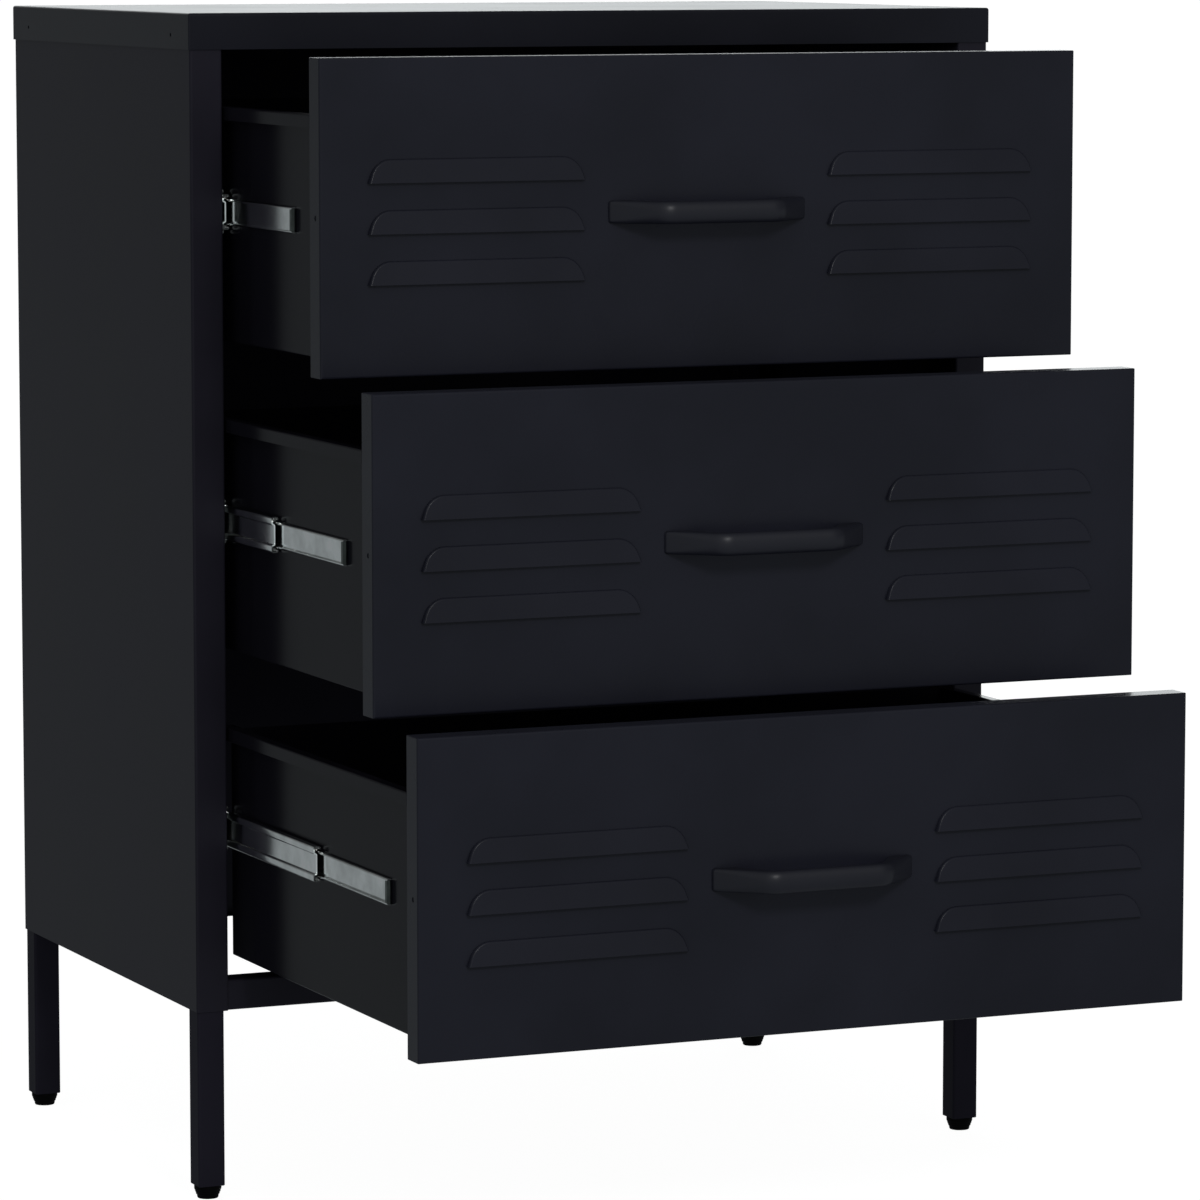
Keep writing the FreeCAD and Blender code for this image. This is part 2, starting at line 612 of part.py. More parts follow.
def slanted_plane(body, name, set_in):
    """Plane of a louvre's sloping face, or of its inside, from its upper to its lower edge."""
    plane = body.newObject("PartDesign::Plane", name)
    plane.AttachmentSupport = (origin_plane(body, "XZ_Plane"), [""])
    plane.MapMode = "FlatFace"
    slope = "atan((Sizes.louvre_mouth - Sizes.louvre_brow) / Sizes.louvre_height)"
    plane.AttachmentOffset = FreeCAD.Placement(Vector(), FreeCAD.Rotation(Vector(-1, 0, 0), 10))
    bind(plane, "AttachmentOffset.Rotation.Angle", slope)
    bind(plane, "AttachmentOffset.Base.y", "Sizes.louvre_rise")
    bind(plane, "AttachmentOffset.Base.z", f"Sizes.louvre_mouth - ({set_in}) / cos({slope})")
    return plane


def drawer_front(name):
    """Flanged front with its pressed louvres, open downwards, and its holes."""
    body = new_body(name)
    width, height, steel = size("front_width"), size("front_height"), size("front_steel")
    outline = sketch_on(body, f"{name}_outline", "XZ_Plane")
    rectangle(outline, ("Sizes.front_half", width / 2), ("0", 0),
              ("Sizes.front_width", width), ("Sizes.front_height", height))
    sheet_front = pad(body, outline, f"{name}_block", "Sizes.front_depth", True)
    round_edges(body, sheet_front, f"{name}_soft_edges", "Sizes.front_soften",
                lambda edge: edge.BoundBox.YMax < 0.01)
    hollow = sketch_on(body, f"{name}_hollow_outline", "XZ_Plane", "-Sizes.front_steel")
    rectangle(hollow, ("Sizes.front_half - Sizes.front_steel", width / 2 - steel),
              ("Sizes.front_steel", steel),
              ("Sizes.front_width - 2 * Sizes.front_steel", width - 2 * steel),
              ("Sizes.front_height - 2 * Sizes.front_steel", height - 2 * steel))
    pocket(body, hollow, f"{name}_hollow", "Sizes.front_depth")
    hood_outline = sketch_on(body, f"{name}_louvre_outline", "XZ_Plane")
    louvre_outline(hood_outline)
    outer_plane = slanted_plane(body, f"{name}_louvre_face", "0")
    inner_plane = slanted_plane(body, f"{name}_louvre_inside", "Sizes.front_steel")
    doc.recompute()
    hood = body.newObject("PartDesign::Pad", f"{name}_louvre")
    hood.Profile = hood_outline
    hood.Type = "UpToFace"
    hood.UpToFace = (outer_plane, [""])
    scoop_outline = sketch_on(body, f"{name}_scoop_outline", "XZ_Plane", "-Sizes.front_steel")
    louvre_outline(scoop_outline, "front_steel")
    doc.recompute()
    scoop = body.newObject("PartDesign::Pocket", f"{name}_scoop")
    scoop.Profile = scoop_outline
    scoop.Reversed = True
    scoop.Type = "UpToFace"
    scoop.UpToFace = (inner_plane, [""])
    doc.recompute()
    pattern = body.newObject("PartDesign::MultiTransform", f"{name}_louvres")
    column = body.newObject("PartDesign::LinearPattern", f"{name}_column")
    column.Direction = (hood_outline, ["V_Axis"])
    column.Occurrences = int(size("louvre_rows"))
    bind(column, "Length", "Sizes.louvre_pitch * (Sizes.louvre_rows - 1)")
    pair = body.newObject("PartDesign::Mirrored", f"{name}_pair")
    pair.MirrorPlane = (origin_plane(body, "YZ_Plane"), [""])
    pattern.Originals = [hood, scoop]
    pattern.Transformations = [column, pair]
    body.Tip = pattern
    doc.recompute()
    holes = sketch_on(body, f"{name}_screw_holes", "XZ_Plane")
    half_spacing = size("handle_screw_spacing") / 2
    hole = size("screw_width") + size("screw_fit")
    for sign in (-1, 1):
        circle(holes, "Sizes.screw_width + Sizes.screw_fit", hole,
               (f"{sign} * Sizes.handle_screw_spacing / 2", sign * half_spacing),
               ("Sizes.handle_rise", size("handle_rise")))
    pocket(body, holes, f"{name}_screw_bores", "Sizes.front_depth")
    flange = sketch_on(body, f"{name}_flange_holes", "YZ_Plane", "-Sizes.front_half")
    circle(flange, "Sizes.flange_hole", size("flange_hole"),
           ("Sizes.flange_hole_depth", size("flange_hole_depth")),
           ("Sizes.flange_hole_rise", size("flange_hole_rise")))
    pocket(body, flange, f"{name}_flange_bores", "Sizes.front_width", True)
    return body


def handle(name):
    """Bow handle: a straight bar on two sloping feet, with a rounded front."""
    body = new_body(name)
    half, bar, reach = size("handle_length") / 2, size("handle_bar") / 2, size("handle_reach")
    thickness, foot_length = size("handle_thickness"), size("handle_foot")
    inner_foot = half - foot_length
    inner_reach = reach - thickness
    inner_bar = bar - thickness / 2
    sketch = sketch_on(body, f"{name}_bow", "XY_Plane")
    corners = [Vector(-half, 0), Vector(-bar, -reach), Vector(bar, -reach), Vector(half, 0),
               Vector(inner_foot, 0), Vector(inner_bar, -inner_reach), Vector(-inner_bar, -inner_reach),
               Vector(-inner_foot, 0)]
    count = len(corners)
    for number in range(count):
        sketch.addGeometry(Part.LineSegment(corners[number], corners[(number + 1) % count]))
    for number in range(count):
        sketch.addConstraint(Sketcher.Constraint("Coincident", number, 2, (number + 1) % count, 1))
    for level in (1, 3, 5, 7):
        sketch.addConstraint(Sketcher.Constraint("Horizontal", level))
    for first, second in ((0, 2), (4, 6)):
        sketch.addConstraint(Sketcher.Constraint("Equal", first, second))
    sketch.addConstraint(Sketcher.Constraint("PointOnObject", 0, 1, -1))
    sketch.addConstraint(Sketcher.Constraint("PointOnObject", 3, 1, -1))
    dimension(sketch, "DistanceX", "Sizes.handle_length / 2", half, 0, 1, -1, 1)
    dimension(sketch, "DistanceX", "Sizes.handle_length", 2 * half, 0, 1, 2, 2)
    dimension(sketch, "Distance", "Sizes.handle_bar", 2 * bar, 1)
    dimension(sketch, "DistanceY", "Sizes.handle_reach", reach, 1, 1, -1, 1)
    dimension(sketch, "Distance", "Sizes.handle_foot", foot_length, 3)
    dimension(sketch, "Distance", "Sizes.handle_foot", foot_length, 7)
    dimension(sketch, "DistanceY", "Sizes.handle_reach - Sizes.handle_thickness", inner_reach, 5, 1, -1, 1)
    dimension(sketch, "Distance", "Sizes.handle_bar - Sizes.handle_thickness", 2 * inner_bar, 5)
    bow = body.newObject("PartDesign::Pad", f"{name}_bar")
    bow.Profile = sketch
    bow.Midplane = True
    bind(bow, "Length", "Sizes.handle_height")

    def is_outer_bend(edge):
        return runs_along(edge, Vector(0, 0, 1)) and edge.BoundBox.YMax < 0.01 - reach

    def is_inner_bend(edge):
        return runs_along(edge, Vector(0, 0, 1)) and abs(edge.BoundBox.YMax + inner_reach) < 0.01

    def is_front_edge(edge):
        flat = edge.BoundBox.ZLength < 0.01
        return flat and edge.BoundBox.YMin < -inner_reach - 0.01 and edge.BoundBox.YMax < -0.01

    outer = round_edges(body, bow, f"{name}_outer_bends", "Sizes.handle_bend", is_outer_bend)
    inner = round_edges(body, outer, f"{name}_inner_bends", "Sizes.handle_inner_bend", is_inner_bend)
    bevel_edges(body, inner, f"{name}_front_edges", "Sizes.handle_edge", is_front_edge)
    holes = sketch_on(body, f"{name}_screw_holes", "XZ_Plane")
    half_spacing = size("handle_screw_spacing") / 2
    for sign in (-1, 1):
        circle(holes, "Sizes.screw_width", size("screw_width"),
               (f"{sign} * Sizes.handle_screw_spacing / 2", sign * half_spacing), ("0", 0))
    pocket(body, holes, f"{name}_threads", "Sizes.screw_grip", True)
    return body


def handle_screws(name, face, bottom):
    """Hexagon-head screws from inside the drawer, through both front sheets into the handle."""
    screws = []
    head_seat = f"{face} + Sizes.front_steel + Sizes.tray_steel"
    level = f"{bottom} + Sizes.handle_rise"
    for hand, sign in (("left", "-"), ("right", "")):
        across = f"{sign}Sizes.handle_screw_spacing / 2"
        shank = rod(f"{name}_{hand}_shank", "Sizes.screw_width",
                    "Sizes.screw_grip + Sizes.front_steel + Sizes.tray_steel",
                    across, f"{face} - Sizes.screw_grip", level)
        head = doc.addObject("Part::Prism", f"{name}_{hand}_head")
        head.Polygon = 6
        bind(head, "Circumradius", "Sizes.screw_head_width / sqrt(3)")
        bind(head, "Height", "Sizes.screw_head_height")
        head.Placement.Rotation = LENGTHWISE
        place(head, across, head_seat, level)
        screws.append(joined(f"{name}_{hand}", "Part::MultiFuse", [shank, head]))
    return joined(name, "Part::Compound", screws)


def tray(name, face, bottom):
    """Sides and floor in one folded sheet, with an outward rim and downturned lips."""
    legs = [("up", "tray_lip"), ("right", "rim_width"), ("down", "tray_inner_height"),
            ("right", "tray_inside"), ("up", "tray_inner_height"), ("right", "rim_width"),
            ("down", "tray_lip")]
    sheet_tray = folded(f"{name}_sheet", legs, "tray_steel", "tray_run", "facing")
    rim_level = f"{bottom} + Sizes.front_height - Sizes.tray_drop"
    place(sheet_tray, "-Sizes.front_half", f"{face} + Sizes.front_steel", f"{rim_level} - Sizes.tray_lip")
    notches = []
    for hand, start in (("left", "-Sizes.front_half"), ("right", "Sizes.tray_half")):
        notches.append(block(f"{name}_{hand}_notch", "Sizes.front_half - Sizes.tray_half",
                             "Sizes.front_depth + Sizes.tray_clear", "Sizes.tray_lip + Sizes.tray_steel",
                             start, face, f"{rim_level} - Sizes.tray_lip"))
    return cut(name, sheet_tray, joined(f"{name}_notches", "Part::Compound", notches))


def end_wall(name, tabs, start, bottom):
    """Wall between the tray's sides, with tabs that lie against them."""
    legs = [("down", tabs), ("left", "tray_inside"), ("up", tabs)]
    wall = folded(name, legs, "tray_steel", "tray_inner_height", "plan")
    place(wall, "Sizes.tray_inside / 2", start, f"{bottom} + Sizes.tray_rise + Sizes.tray_steel")
    return wall


def inner_front(name, face, bottom):
    """Front wall of the tray against the drawer front, drilled for the handle screws."""
    seat = f"{face} + Sizes.front_steel"
    wall = end_wall(f"{name}_sheet", "wall_tab", f"{seat} + Sizes.wall_tab", bottom)
    drills = []
    for hand, sign in (("left", "-"), ("right", "")):
        drills.append(rod(f"{name}_{hand}_drill", "Sizes.screw_width + Sizes.screw_fit", "Sizes.tray_steel",
                          f"{sign}Sizes.handle_screw_spacing / 2", seat, f"{bottom} + Sizes.handle_rise"))
    return cut(name, wall, joined(f"{name}_drills", "Part::Compound", drills))


def slide_rails(label, face, bottom, carriage_pull):
    """Left-hand rails of a telescopic ball-bearing slide: cabinet, middle and drawer rail."""
    level = f"{bottom} + Sizes.slide_rise"
    cabinet_legs = [("down", "outer_rail_lip"), ("left", "outer_rail_reach"), ("up", "outer_rail_height"),
                    ("right", "outer_rail_reach"), ("down", "outer_rail_lip")]
    cabinet_rail = folded(f"{label}_left_cabinet_rail", cabinet_legs, "slide_steel",
                          "slide_length", "facing")
    place(cabinet_rail, "-Sizes.mount_half + Sizes.outer_rail_reach", "Sizes.rail_plane",
          f"{level} - Sizes.outer_rail_height / 2 + Sizes.outer_rail_lip")
    middle_legs = [("down", "middle_rail_lip"), ("left", "middle_rail_flange"), ("up", "middle_rail_band"),
                   ("right", "middle_rail_step"), ("up", "middle_web"), ("left", "middle_rail_step"),
                   ("up", "middle_rail_band"), ("right", "middle_rail_flange"), ("down", "middle_rail_lip")]
    middle_rail = folded(f"{label}_left_middle_rail", middle_legs, "slide_steel",
                         "slide_length", "facing")
    place(middle_rail, "-Sizes.mount_half + Sizes.middle_rail_standoff + Sizes.middle_rail_flange",
          f"Sizes.middle_plane - {carriage_pull}",
          f"{level} - Sizes.middle_rail_height / 2 + Sizes.middle_rail_lip")
    drawer_legs = [("up", "inner_rail_lip"), ("right", "inner_rail_flange"), ("down", "inner_rail_height"),
                   ("left", "inner_rail_flange"), ("up", "inner_rail_lip")]
    channel = folded(f"{label}_left_drawer_channel", drawer_legs, "slide_steel",
                     "inner_rail_length", "facing")
    channel_edge = "-Sizes.tray_half - Sizes.inner_rail_flange"
    place(channel, channel_edge, f"{face} + Sizes.inner_rail_setback",
          f"{level} + Sizes.inner_rail_height / 2 - Sizes.inner_rail_lip")
    stop = block(f"{label}_left_stop", "Sizes.inner_rail_flange - Sizes.slide_steel / 2",
                 "Sizes.slide_steel", "Sizes.inner_rail_height - Sizes.slide_steel",
                 channel_edge, f"{face} + Sizes.inner_rail_setback",
                 f"{level} - Sizes.inner_rail_height / 2 + Sizes.slide_steel / 2")
    drawer_rail = joined(f"{label}_left_drawer_rail", "Part::MultiFuse", [channel, stop])
    return {"cabinet_rail": cabinet_rail, "middle_rail": middle_rail, "drawer_rail": drawer_rail}


def ball_retainers(name, inner_edge, start, middle_level, track, gap):
    """Retainer strips in the ball gaps above and below a rail, on both sides of the drawer."""
    strips = []
    height = f"{gap} - 2 * Sizes.running_gap"
    for place_word, lower_face in (("upper", f"{middle_level} + {track} - {gap} + Sizes.running_gap"),
                                   ("lower", f"{middle_level} - {track} + Sizes.running_gap")):
        strips.append(block(f"{name}_{place_word}", "Sizes.retainer_width", "Sizes.retainer_length", height,
                            f"-Sizes.mount_half + {inner_edge} - Sizes.retainer_width", start, lower_face))
    left = joined(f"{name}_left", "Part::Compound", strips)
    right = mirrored(f"{name}_right", left)
    return joined(name, "Part::Compound", [left, right])


def drawer(label, pieces):
    """One drawer as shown, its slides and its retainers."""
    face = f"(Sizes.closed_plane - Sizes.{label}_pull)"
    bottom = f"Sizes.{label}_front"
    carriage_pull = f"Sizes.{label}_carriage_pull"
    front = drawer_front(f"{label}_drawer_front")
    place(front, y=face, z=bottom)
    pieces[f"{label}_drawer_front"] = front
    grip = handle(f"{label}_drawer_handle")
    place(grip, y=face, z=f"{bottom} + Sizes.handle_rise")
    pieces[f"{label}_drawer_handle"] = grip
    pieces[f"{label}_handle_screws"] = handle_screws(f"{label}_handle_screws", face, bottom)
    pieces[f"{label}_drawer_tray"] = tray(f"{label}_drawer_tray", face, bottom)
    pieces[f"{label}_drawer_inner_front"] = inner_front(f"{label}_drawer_inner_front", face, bottom)
    pieces[f"{label}_drawer_back"] = end_wall(
        f"{label}_drawer_back", "tray_back_inset", f"{face} + Sizes.tray_length", bottom)
    for kind, rail in slide_rails(label, face, bottom, carriage_pull).items():
        pieces[f"{label}_left_{kind}"] = rail
        pieces[f"{label}_right_{kind}"] = mirrored(f"{label}_right_{kind}", rail)
    level = f"{bottom} + Sizes.slide_rise"
    lip_side = "Sizes.slide_steel - Sizes.running_gap"
    pieces[f"{label}_outer_ball_retainers"] = ball_retainers(
        f"{label}_outer_ball_retainers", f"Sizes.outer_rail_reach - {lip_side}",
        f"Sizes.rail_plane + Sizes.outer_retainer_start - {carriage_pull} / 2",
        level, "Sizes.outer_track", "Sizes.outer_ball_gap")
    pieces[f"{label}_inner_ball_retainers"] = ball_retainers(
        f"{label}_inner_ball_retainers",
        f"Sizes.middle_rail_standoff + Sizes.middle_rail_flange - {lip_side}",
        f"Sizes.middle_plane - {carriage_pull} + Sizes.inner_retainer_start - Sizes.drawer_travel / 2",
        level, "Sizes.inner_track", "Sizes.inner_ball_gap")


def build():
    """All sub-parts by the name of their node."""
    left_side = side_panel()
    pieces = {
        "top_cap": cap(),
        "left_side_panel": left_side,
        "right_side_panel": mirrored("right_side_panel", left_side),
        "back_panel": back_panel(),
        "bottom_rail": bottom_rail(),
        "feet": joined("feet", "Part::Compound", [foot(corner) for corner in LEG_SPOTS]),
    }
    for corner in LEG_SPOTS:
        pieces[f"{corner}_leg"] = leg(corner)
    for label in ("top", "middle", "bottom"):
        drawer(label, pieces)
    doc.recompute()
    return pieces


def check_and_write(pieces):
    """Stops at a faulty object, and writes one STEP file for each sub-part."""
    for thing in doc.Objects:
        if "Invalid" in thing.State or "Error" in thing.State:
            raise RuntimeError(f"{thing.Name} failed: {thing.State}")
    os.makedirs("parts", exist_ok=True)
    for name, thing in pieces.items():
        thing.Label = name
        if thing.Shape.isNull() or not thing.Shape.isValid():
            raise RuntimeError(f"{name} has no valid shape")
        thing.Shape.exportStep(f"parts/{name}.step")
    print(f"{len(pieces)} sub-parts written, cabinet {size('cabinet_height')} mm high")


check_and_write(build())
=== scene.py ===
import math

import bmesh
import bpy
from bpy.props import (BoolProperty, FloatProperty, FloatVectorProperty, IntProperty,
                       PointerProperty)
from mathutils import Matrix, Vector


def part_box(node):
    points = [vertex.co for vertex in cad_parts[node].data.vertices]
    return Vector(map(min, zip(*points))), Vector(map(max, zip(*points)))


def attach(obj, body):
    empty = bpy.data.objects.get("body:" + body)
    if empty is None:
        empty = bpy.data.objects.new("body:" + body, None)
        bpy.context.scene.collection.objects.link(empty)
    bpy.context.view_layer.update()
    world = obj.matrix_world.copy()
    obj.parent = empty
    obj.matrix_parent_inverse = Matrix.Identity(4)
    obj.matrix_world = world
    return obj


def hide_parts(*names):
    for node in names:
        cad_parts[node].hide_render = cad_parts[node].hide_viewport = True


bl_info = {
    "name": "Steel Drawer Cabinet",
    "version": (1, 0, 0),
    "blender": (4, 5, 0),
    "location": "3D View > Sidebar > Cabinet",
    "description": "Builds a steel drawer cabinet with louvred drawers on ball-bearing slides",
    "category": "Object",
}

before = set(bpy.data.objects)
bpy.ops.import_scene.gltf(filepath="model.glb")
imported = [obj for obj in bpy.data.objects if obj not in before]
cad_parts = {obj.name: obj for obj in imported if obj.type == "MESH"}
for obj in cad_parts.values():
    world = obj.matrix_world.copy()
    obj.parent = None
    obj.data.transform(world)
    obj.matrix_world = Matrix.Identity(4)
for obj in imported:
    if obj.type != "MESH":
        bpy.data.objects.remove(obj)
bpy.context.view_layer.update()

DRAWERS = ("top", "middle", "bottom")
STAGES = ("outer", "inner")
HANDS = (("left", 1), ("right", -1))
CORNERS = ("front_left", "front_right", "rear_left", "rear_right")

# How meshes are drawn, in metres and degrees
SUPPORT = 0.0003            # from a fold to the point that keeps its shading to itself
LEAST_SUPPORT = 0.00002
BEND_STEPS = 4
CLEAR = 0.003               # how far a cutter reaches beyond what it cuts
THROUGH = (-0.002, 0.003)   # how far the cutters of a front reach before and behind its face
HARD_EDGE = 32.0            # faces that turn by more meet in a hard edge
LOUVRE_EDGE = 40.0
ROUND_EDGE = 60.0

# Small sizes of the body and the drawers, in metres
CAP_CORNER = 0.0012
CAP_HOLE = {"radius": 0.0017, "inset": 0.048, "drop": 0.020}
BACK_BEND = 0.0016
BACK_CORNER = 0.0008
LEG_EDGE = 0.0004
TUBE_CORNER_GAIN = 0.0002   # inner corner radius over the outer one less the wall
FRONT_DEPTH = 0.024
FRONT_CORNER = 0.0008
FLANGE_HOLE = {"radius": 0.0023, "depth": 0.0105, "level": 0.1383}
SCREW_HOLE = 0.0021         # radius
SCREWS_ON_FRONT = 0.139     # above the lower edge of the front
SCREWS_ON_WALL = 0.1223     # above the lower edge of the inner front
TRAY_BEND = 0.0007
LIP_START = 0.0236          # the tray's rims start this far behind its front end
LIP_GAP = 0.0001            # and this far outside its walls
SCREW_HEAD = 0.0028
SCREW_TIP = ((0.0017, 0.0), (0.0020, 0.0004))
SCREW_CROWN = ((1.0, 0.0006), (0.94, 0.0002), (0.84, 0.0))
FOOT_RADIUS = 0.012         # at a foot's collar in the frame
FOOT_TOP = 0.0122
FOOT_PROFILE = ((0.0078, 0.0), (0.0092, 0.0003), (0.0097, 0.0012), (0.0100, 0.0034),
                (0.0108, 0.0040), (0.0111, 0.0058), (0.0116, 0.0062), (0.0119, 0.0080),
                (0.0123, 0.0084), (0.0125, 0.0092), (0.0125, 0.0119), (0.0122, 0.0123))
PLUG_HALF = 0.009
PLUG_CORNER = 0.001

# Small sizes of the slides, in metres
RAIL_LIPS = {"cabinet": 0.003, "middle": 0.0025, "drawer": 0.0018}
MIDDLE_BAND = 0.0073        # flat bands of a middle rail above and below its step
MIDDLE_STEP = 0.0022
WEB_CUT = 0.004
STOP = {"proud": 0.0002, "back": 0.0013, "neck": 0.0022, "start": 0.0003, "end": 0.0045}
RETAINER = {"width": 0.003, "height": 0.0023, "end": 0.004}


# Sizes and finishes

def metres(name, about, default):
    """Property for a length."""
    return FloatProperty(name=name, description=about, default=default, min=default / 4,
                         unit="LENGTH")


def tint(name, about, default):
    """Property for a colour."""
    return FloatVectorProperty(name=name, description=about, subtype="COLOR", size=4, min=0.0,
                               max=1.0, default=default + (1.0,))


class CabinetSizes(bpy.types.PropertyGroup):
    """Sizes of the sheet, the folds and the slides."""

    cap_steel: metres("Cap sheet", "Thickness of the cap's sheet", 0.0012)
    cap_bend: metres("Cap fold", "Outside radius of the folds round the top", 0.0024)
    side_steel: metres("Side sheet", "Thickness of the side panels and the bottom rail", 0.0012)
    side_bend: metres("Side fold", "Inside radius of the side panels' folds", 0.0009)
    post_return: metres("Post return", "Depth of the returns that carry the slides", 0.060)
    back_steel: metres("Back sheet", "Thickness of the back panel", 0.0008)
    leg_wall: metres("Leg wall", "Wall of the square tube", 0.0015)
    leg_corner: metres("Leg corner", "Outside corner radius of the square tube", 0.0026)
    front_steel: metres("Front sheet", "Thickness of the drawer fronts", 0.001)
    front_bend: metres("Front fold", "Outside radius round a drawer front's face", 0.0018)
    tray_steel: metres("Tray sheet", "Thickness of the drawer trays", 0.0009)
    tray_lip: metres("Tray lip", "Downturned lip along a tray's rim", 0.012)
    rail_steel: metres("Rail sheet", "Thickness of the slides' rails", 0.0012)
    rail_bend: metres("Rail fold", "Inside radius of the rails' folds", 0.0005)
    ball_width: metres("Ball", "Diameter of the bearing balls", 0.0028)
    ball_pitch: metres("Ball pitch", "Distance from ball to ball in a retainer", 0.0125)


class LouvreSizes(bpy.types.PropertyGroup):
    """Sizes and layout of the louvres pressed into a drawer front."""

    length: metres("Length", "Louvre along its mouth", 0.2042)
    height: metres("Height", "Louvre from its mouth to its brow", 0.0206)
    corner: metres("Corner", "Radius of the upper corners", 0.020)
    lean: FloatProperty(name="Lean", description="Lean of the ends from upright",
                        default=math.radians(20), subtype="ANGLE")
    mouth: metres("Mouth", "How far the lower edge stands out", 0.005)
    brow: metres("Brow", "How far the upper edge stands out", 0.0018)
    shoulder: metres("Shoulder", "Width of the pressed rise round a louvre", 0.0017)
    inset: metres("Inset", "Front's edge to the louvre", 0.0439)
    rise: metres("Rise", "Lowest louvre above the front's lower edge", 0.080)
    pitch: metres("Pitch", "Louvre to louvre", 0.044)
    rows: IntProperty(name="Rows", description="Louvres in a column", default=3, min=1)


class HandleSizes(bpy.types.PropertyGroup):
    """Sizes of the bow handles."""

    thickness: metres("Thickness", "Bar front to rear", 0.009)
    bar: metres("Bar", "Straight bar between the bends", 0.112)
    foot: metres("Foot", "Length of a foot on the front", 0.022)
    bend: metres("Bend", "Outer radius of the bends", 0.022)
    crown: metres("Crown", "How far the front of the bar is rounded back", 0.0052)
    flat: metres("Flat", "Half of the flat left on the front of the bar", 0.0006)
    foot_edge: metres("Foot edge", "Radius of the edges at a foot", 0.0030)
    rear_edge: metres("Rear edge", "Radius along the inside of the bar", 0.0022)
    heel: metres("Heel", "Upright end of a foot before it slopes", 0.0015)
    screw_spacing: metres("Screws", "Distance between a handle's two screws", 0.164)


class CabinetFinish(bpy.types.PropertyGroup):
    """Colours and gloss of the finishes."""

    coat: tint("Paint", "Powder coat of the fronts, the handles and the cap",
               (0.0135, 0.0140, 0.0215))
    side_coat: tint("Side paint", "Powder coat of the body, the legs and the trays",
                    (0.0160, 0.0148, 0.0222))
    plastic: tint("Plastic", "Moulded feet", (0.0018, 0.0018, 0.0020))
    stop: tint("Stop", "Moulded end stops of the slides", (0.090, 0.104, 0.100))
    zinc: tint("Zinc", "Plated rails of the slides", (0.94, 0.97, 0.96))
    steel: tint("Steel", "Balls, retainers and screws", (0.55, 0.55, 0.54))
    coat_gloss: FloatProperty(name="Paint roughness", description="Roughness of the powder coat",
                              default=0.36, min=0.0, max=1.0, subtype="FACTOR")
    grain: BoolProperty(name="Paint grain", description="Fine grain of the powder coat",
                        default=True)


# Nodes and node materials

def node(tree, kind, inputs=None, **settings):
    """New node with its settings; its inputs get values, or links from sockets or nodes.

    A node given as an input stands for its first output.
    """
    made = tree.nodes.new(kind)
    for key, value in settings.items():
        setattr(made, key, value)
    for key, value in (inputs or {}).items():
        if isinstance(value, bpy.types.Node):
            value = value.outputs[0]
        if isinstance(value, bpy.types.NodeSocket):
            tree.links.new(value, made.inputs[key])
        else:
            made.inputs[key].default_value = value
    return made


def cleared(data):
    """Empty node tree of a material or a world."""
    data.use_nodes = True
    data.node_tree.nodes.clear()
    return data.node_tree


def noise(tree, scale, detail, stretch=(1.0, 1.0, 1.0)):
    """Noise over the object's own coordinates."""
    place = node(tree, "ShaderNodeTexCoord")
    mapping = node(tree, "ShaderNodeMapping", {"Vector": place.outputs["Object"],
                                               "Scale": stretch})
    return node(tree, "ShaderNodeTexNoise", {"Vector": mapping, "Scale": scale,
                                             "Detail": detail})


def blended_colour(tree, factor, dark, light):
    """Colour that wanders between two tones."""
    ramp = node(tree, "ShaderNodeValToRGB", {"Fac": factor})
    for stop, place, colour in zip(ramp.color_ramp.elements, (0.35, 0.65), (dark, light)):
        stop.position = place
        stop.color = colour
    return ramp


def spread(tree, factor, low, high):
    """Number that wanders between two limits, where the factor runs from 0 to 1."""
    return node(tree, "ShaderNodeMapRange", {"Value": factor, "To Min": low, "To Max": high})


def toned(colour, factor):
    """Colour made lighter or darker."""
    return (colour[0] * factor, colour[1] * factor, colour[2] * factor, 1.0)


def surfaced(name, colour, tones, cloud, gloss, roughness, relief, inputs):
    """Node material whose tone follows the noise cloud and whose roughness the noise gloss.

    A noise is (scale, detail) or (scale, detail, stretch); relief is (noise, strength, distance).
    """
    material = bpy.data.materials.new(name)
    tree = cleared(material)
    tone = blended_colour(tree, noise(tree, *cloud), toned(colour, tones[0]),
                          toned(colour, tones[1]))
    inputs = {"Base Color": tone, "Roughness": spread(tree, noise(tree, *gloss), *roughness),
              **inputs}
    if relief:
        inputs["Normal"] = node(tree, "ShaderNodeBump", {
            "Height": noise(tree, *relief[0]), "Strength": relief[1], "Distance": relief[2]})
    shader = node(tree, "ShaderNodeBsdfPrincipled", inputs)
    node(tree, "ShaderNodeOutputMaterial", {"Surface": shader})
    return material


def powder_coat(name, colour, roughness, grain, specular):
    """Satin powder coat: even colour, slow drift of gloss and a fine grain."""
    drift = (7.0, 3.0)
    return surfaced(name, colour, (0.88, 1.12), drift, drift,
                    (roughness - 0.04, roughness + 0.04),
                    ((650.0, 2.0), 0.10, 0.0003) if grain else None,
                    {"Specular IOR Level": specular})


def plated_steel(name, colour, roughness, along=(1.0, 1.0, 1.0), depth=0.00004):
    """Plated or drawn steel with faint marks; along stretches them."""
    marks = (900.0, 3.0, along)
    return surfaced(name, colour, (0.82, 1.08), (38.0, 4.0), marks,
                    (roughness * 0.8, roughness * 1.25), (marks, 0.25, depth), {"Metallic": 1.0})


def moulded_plastic(name, colour, specular):
    """Matt moulded plastic."""
    cloud = (120.0, 3.0)
    return surfaced(name, colour, (0.8, 1.25), cloud, cloud, (0.5, 0.62),
                    ((1400.0, 2.0), 0.15, 0.0002), {"Specular IOR Level": specular})


FINISHES = {}


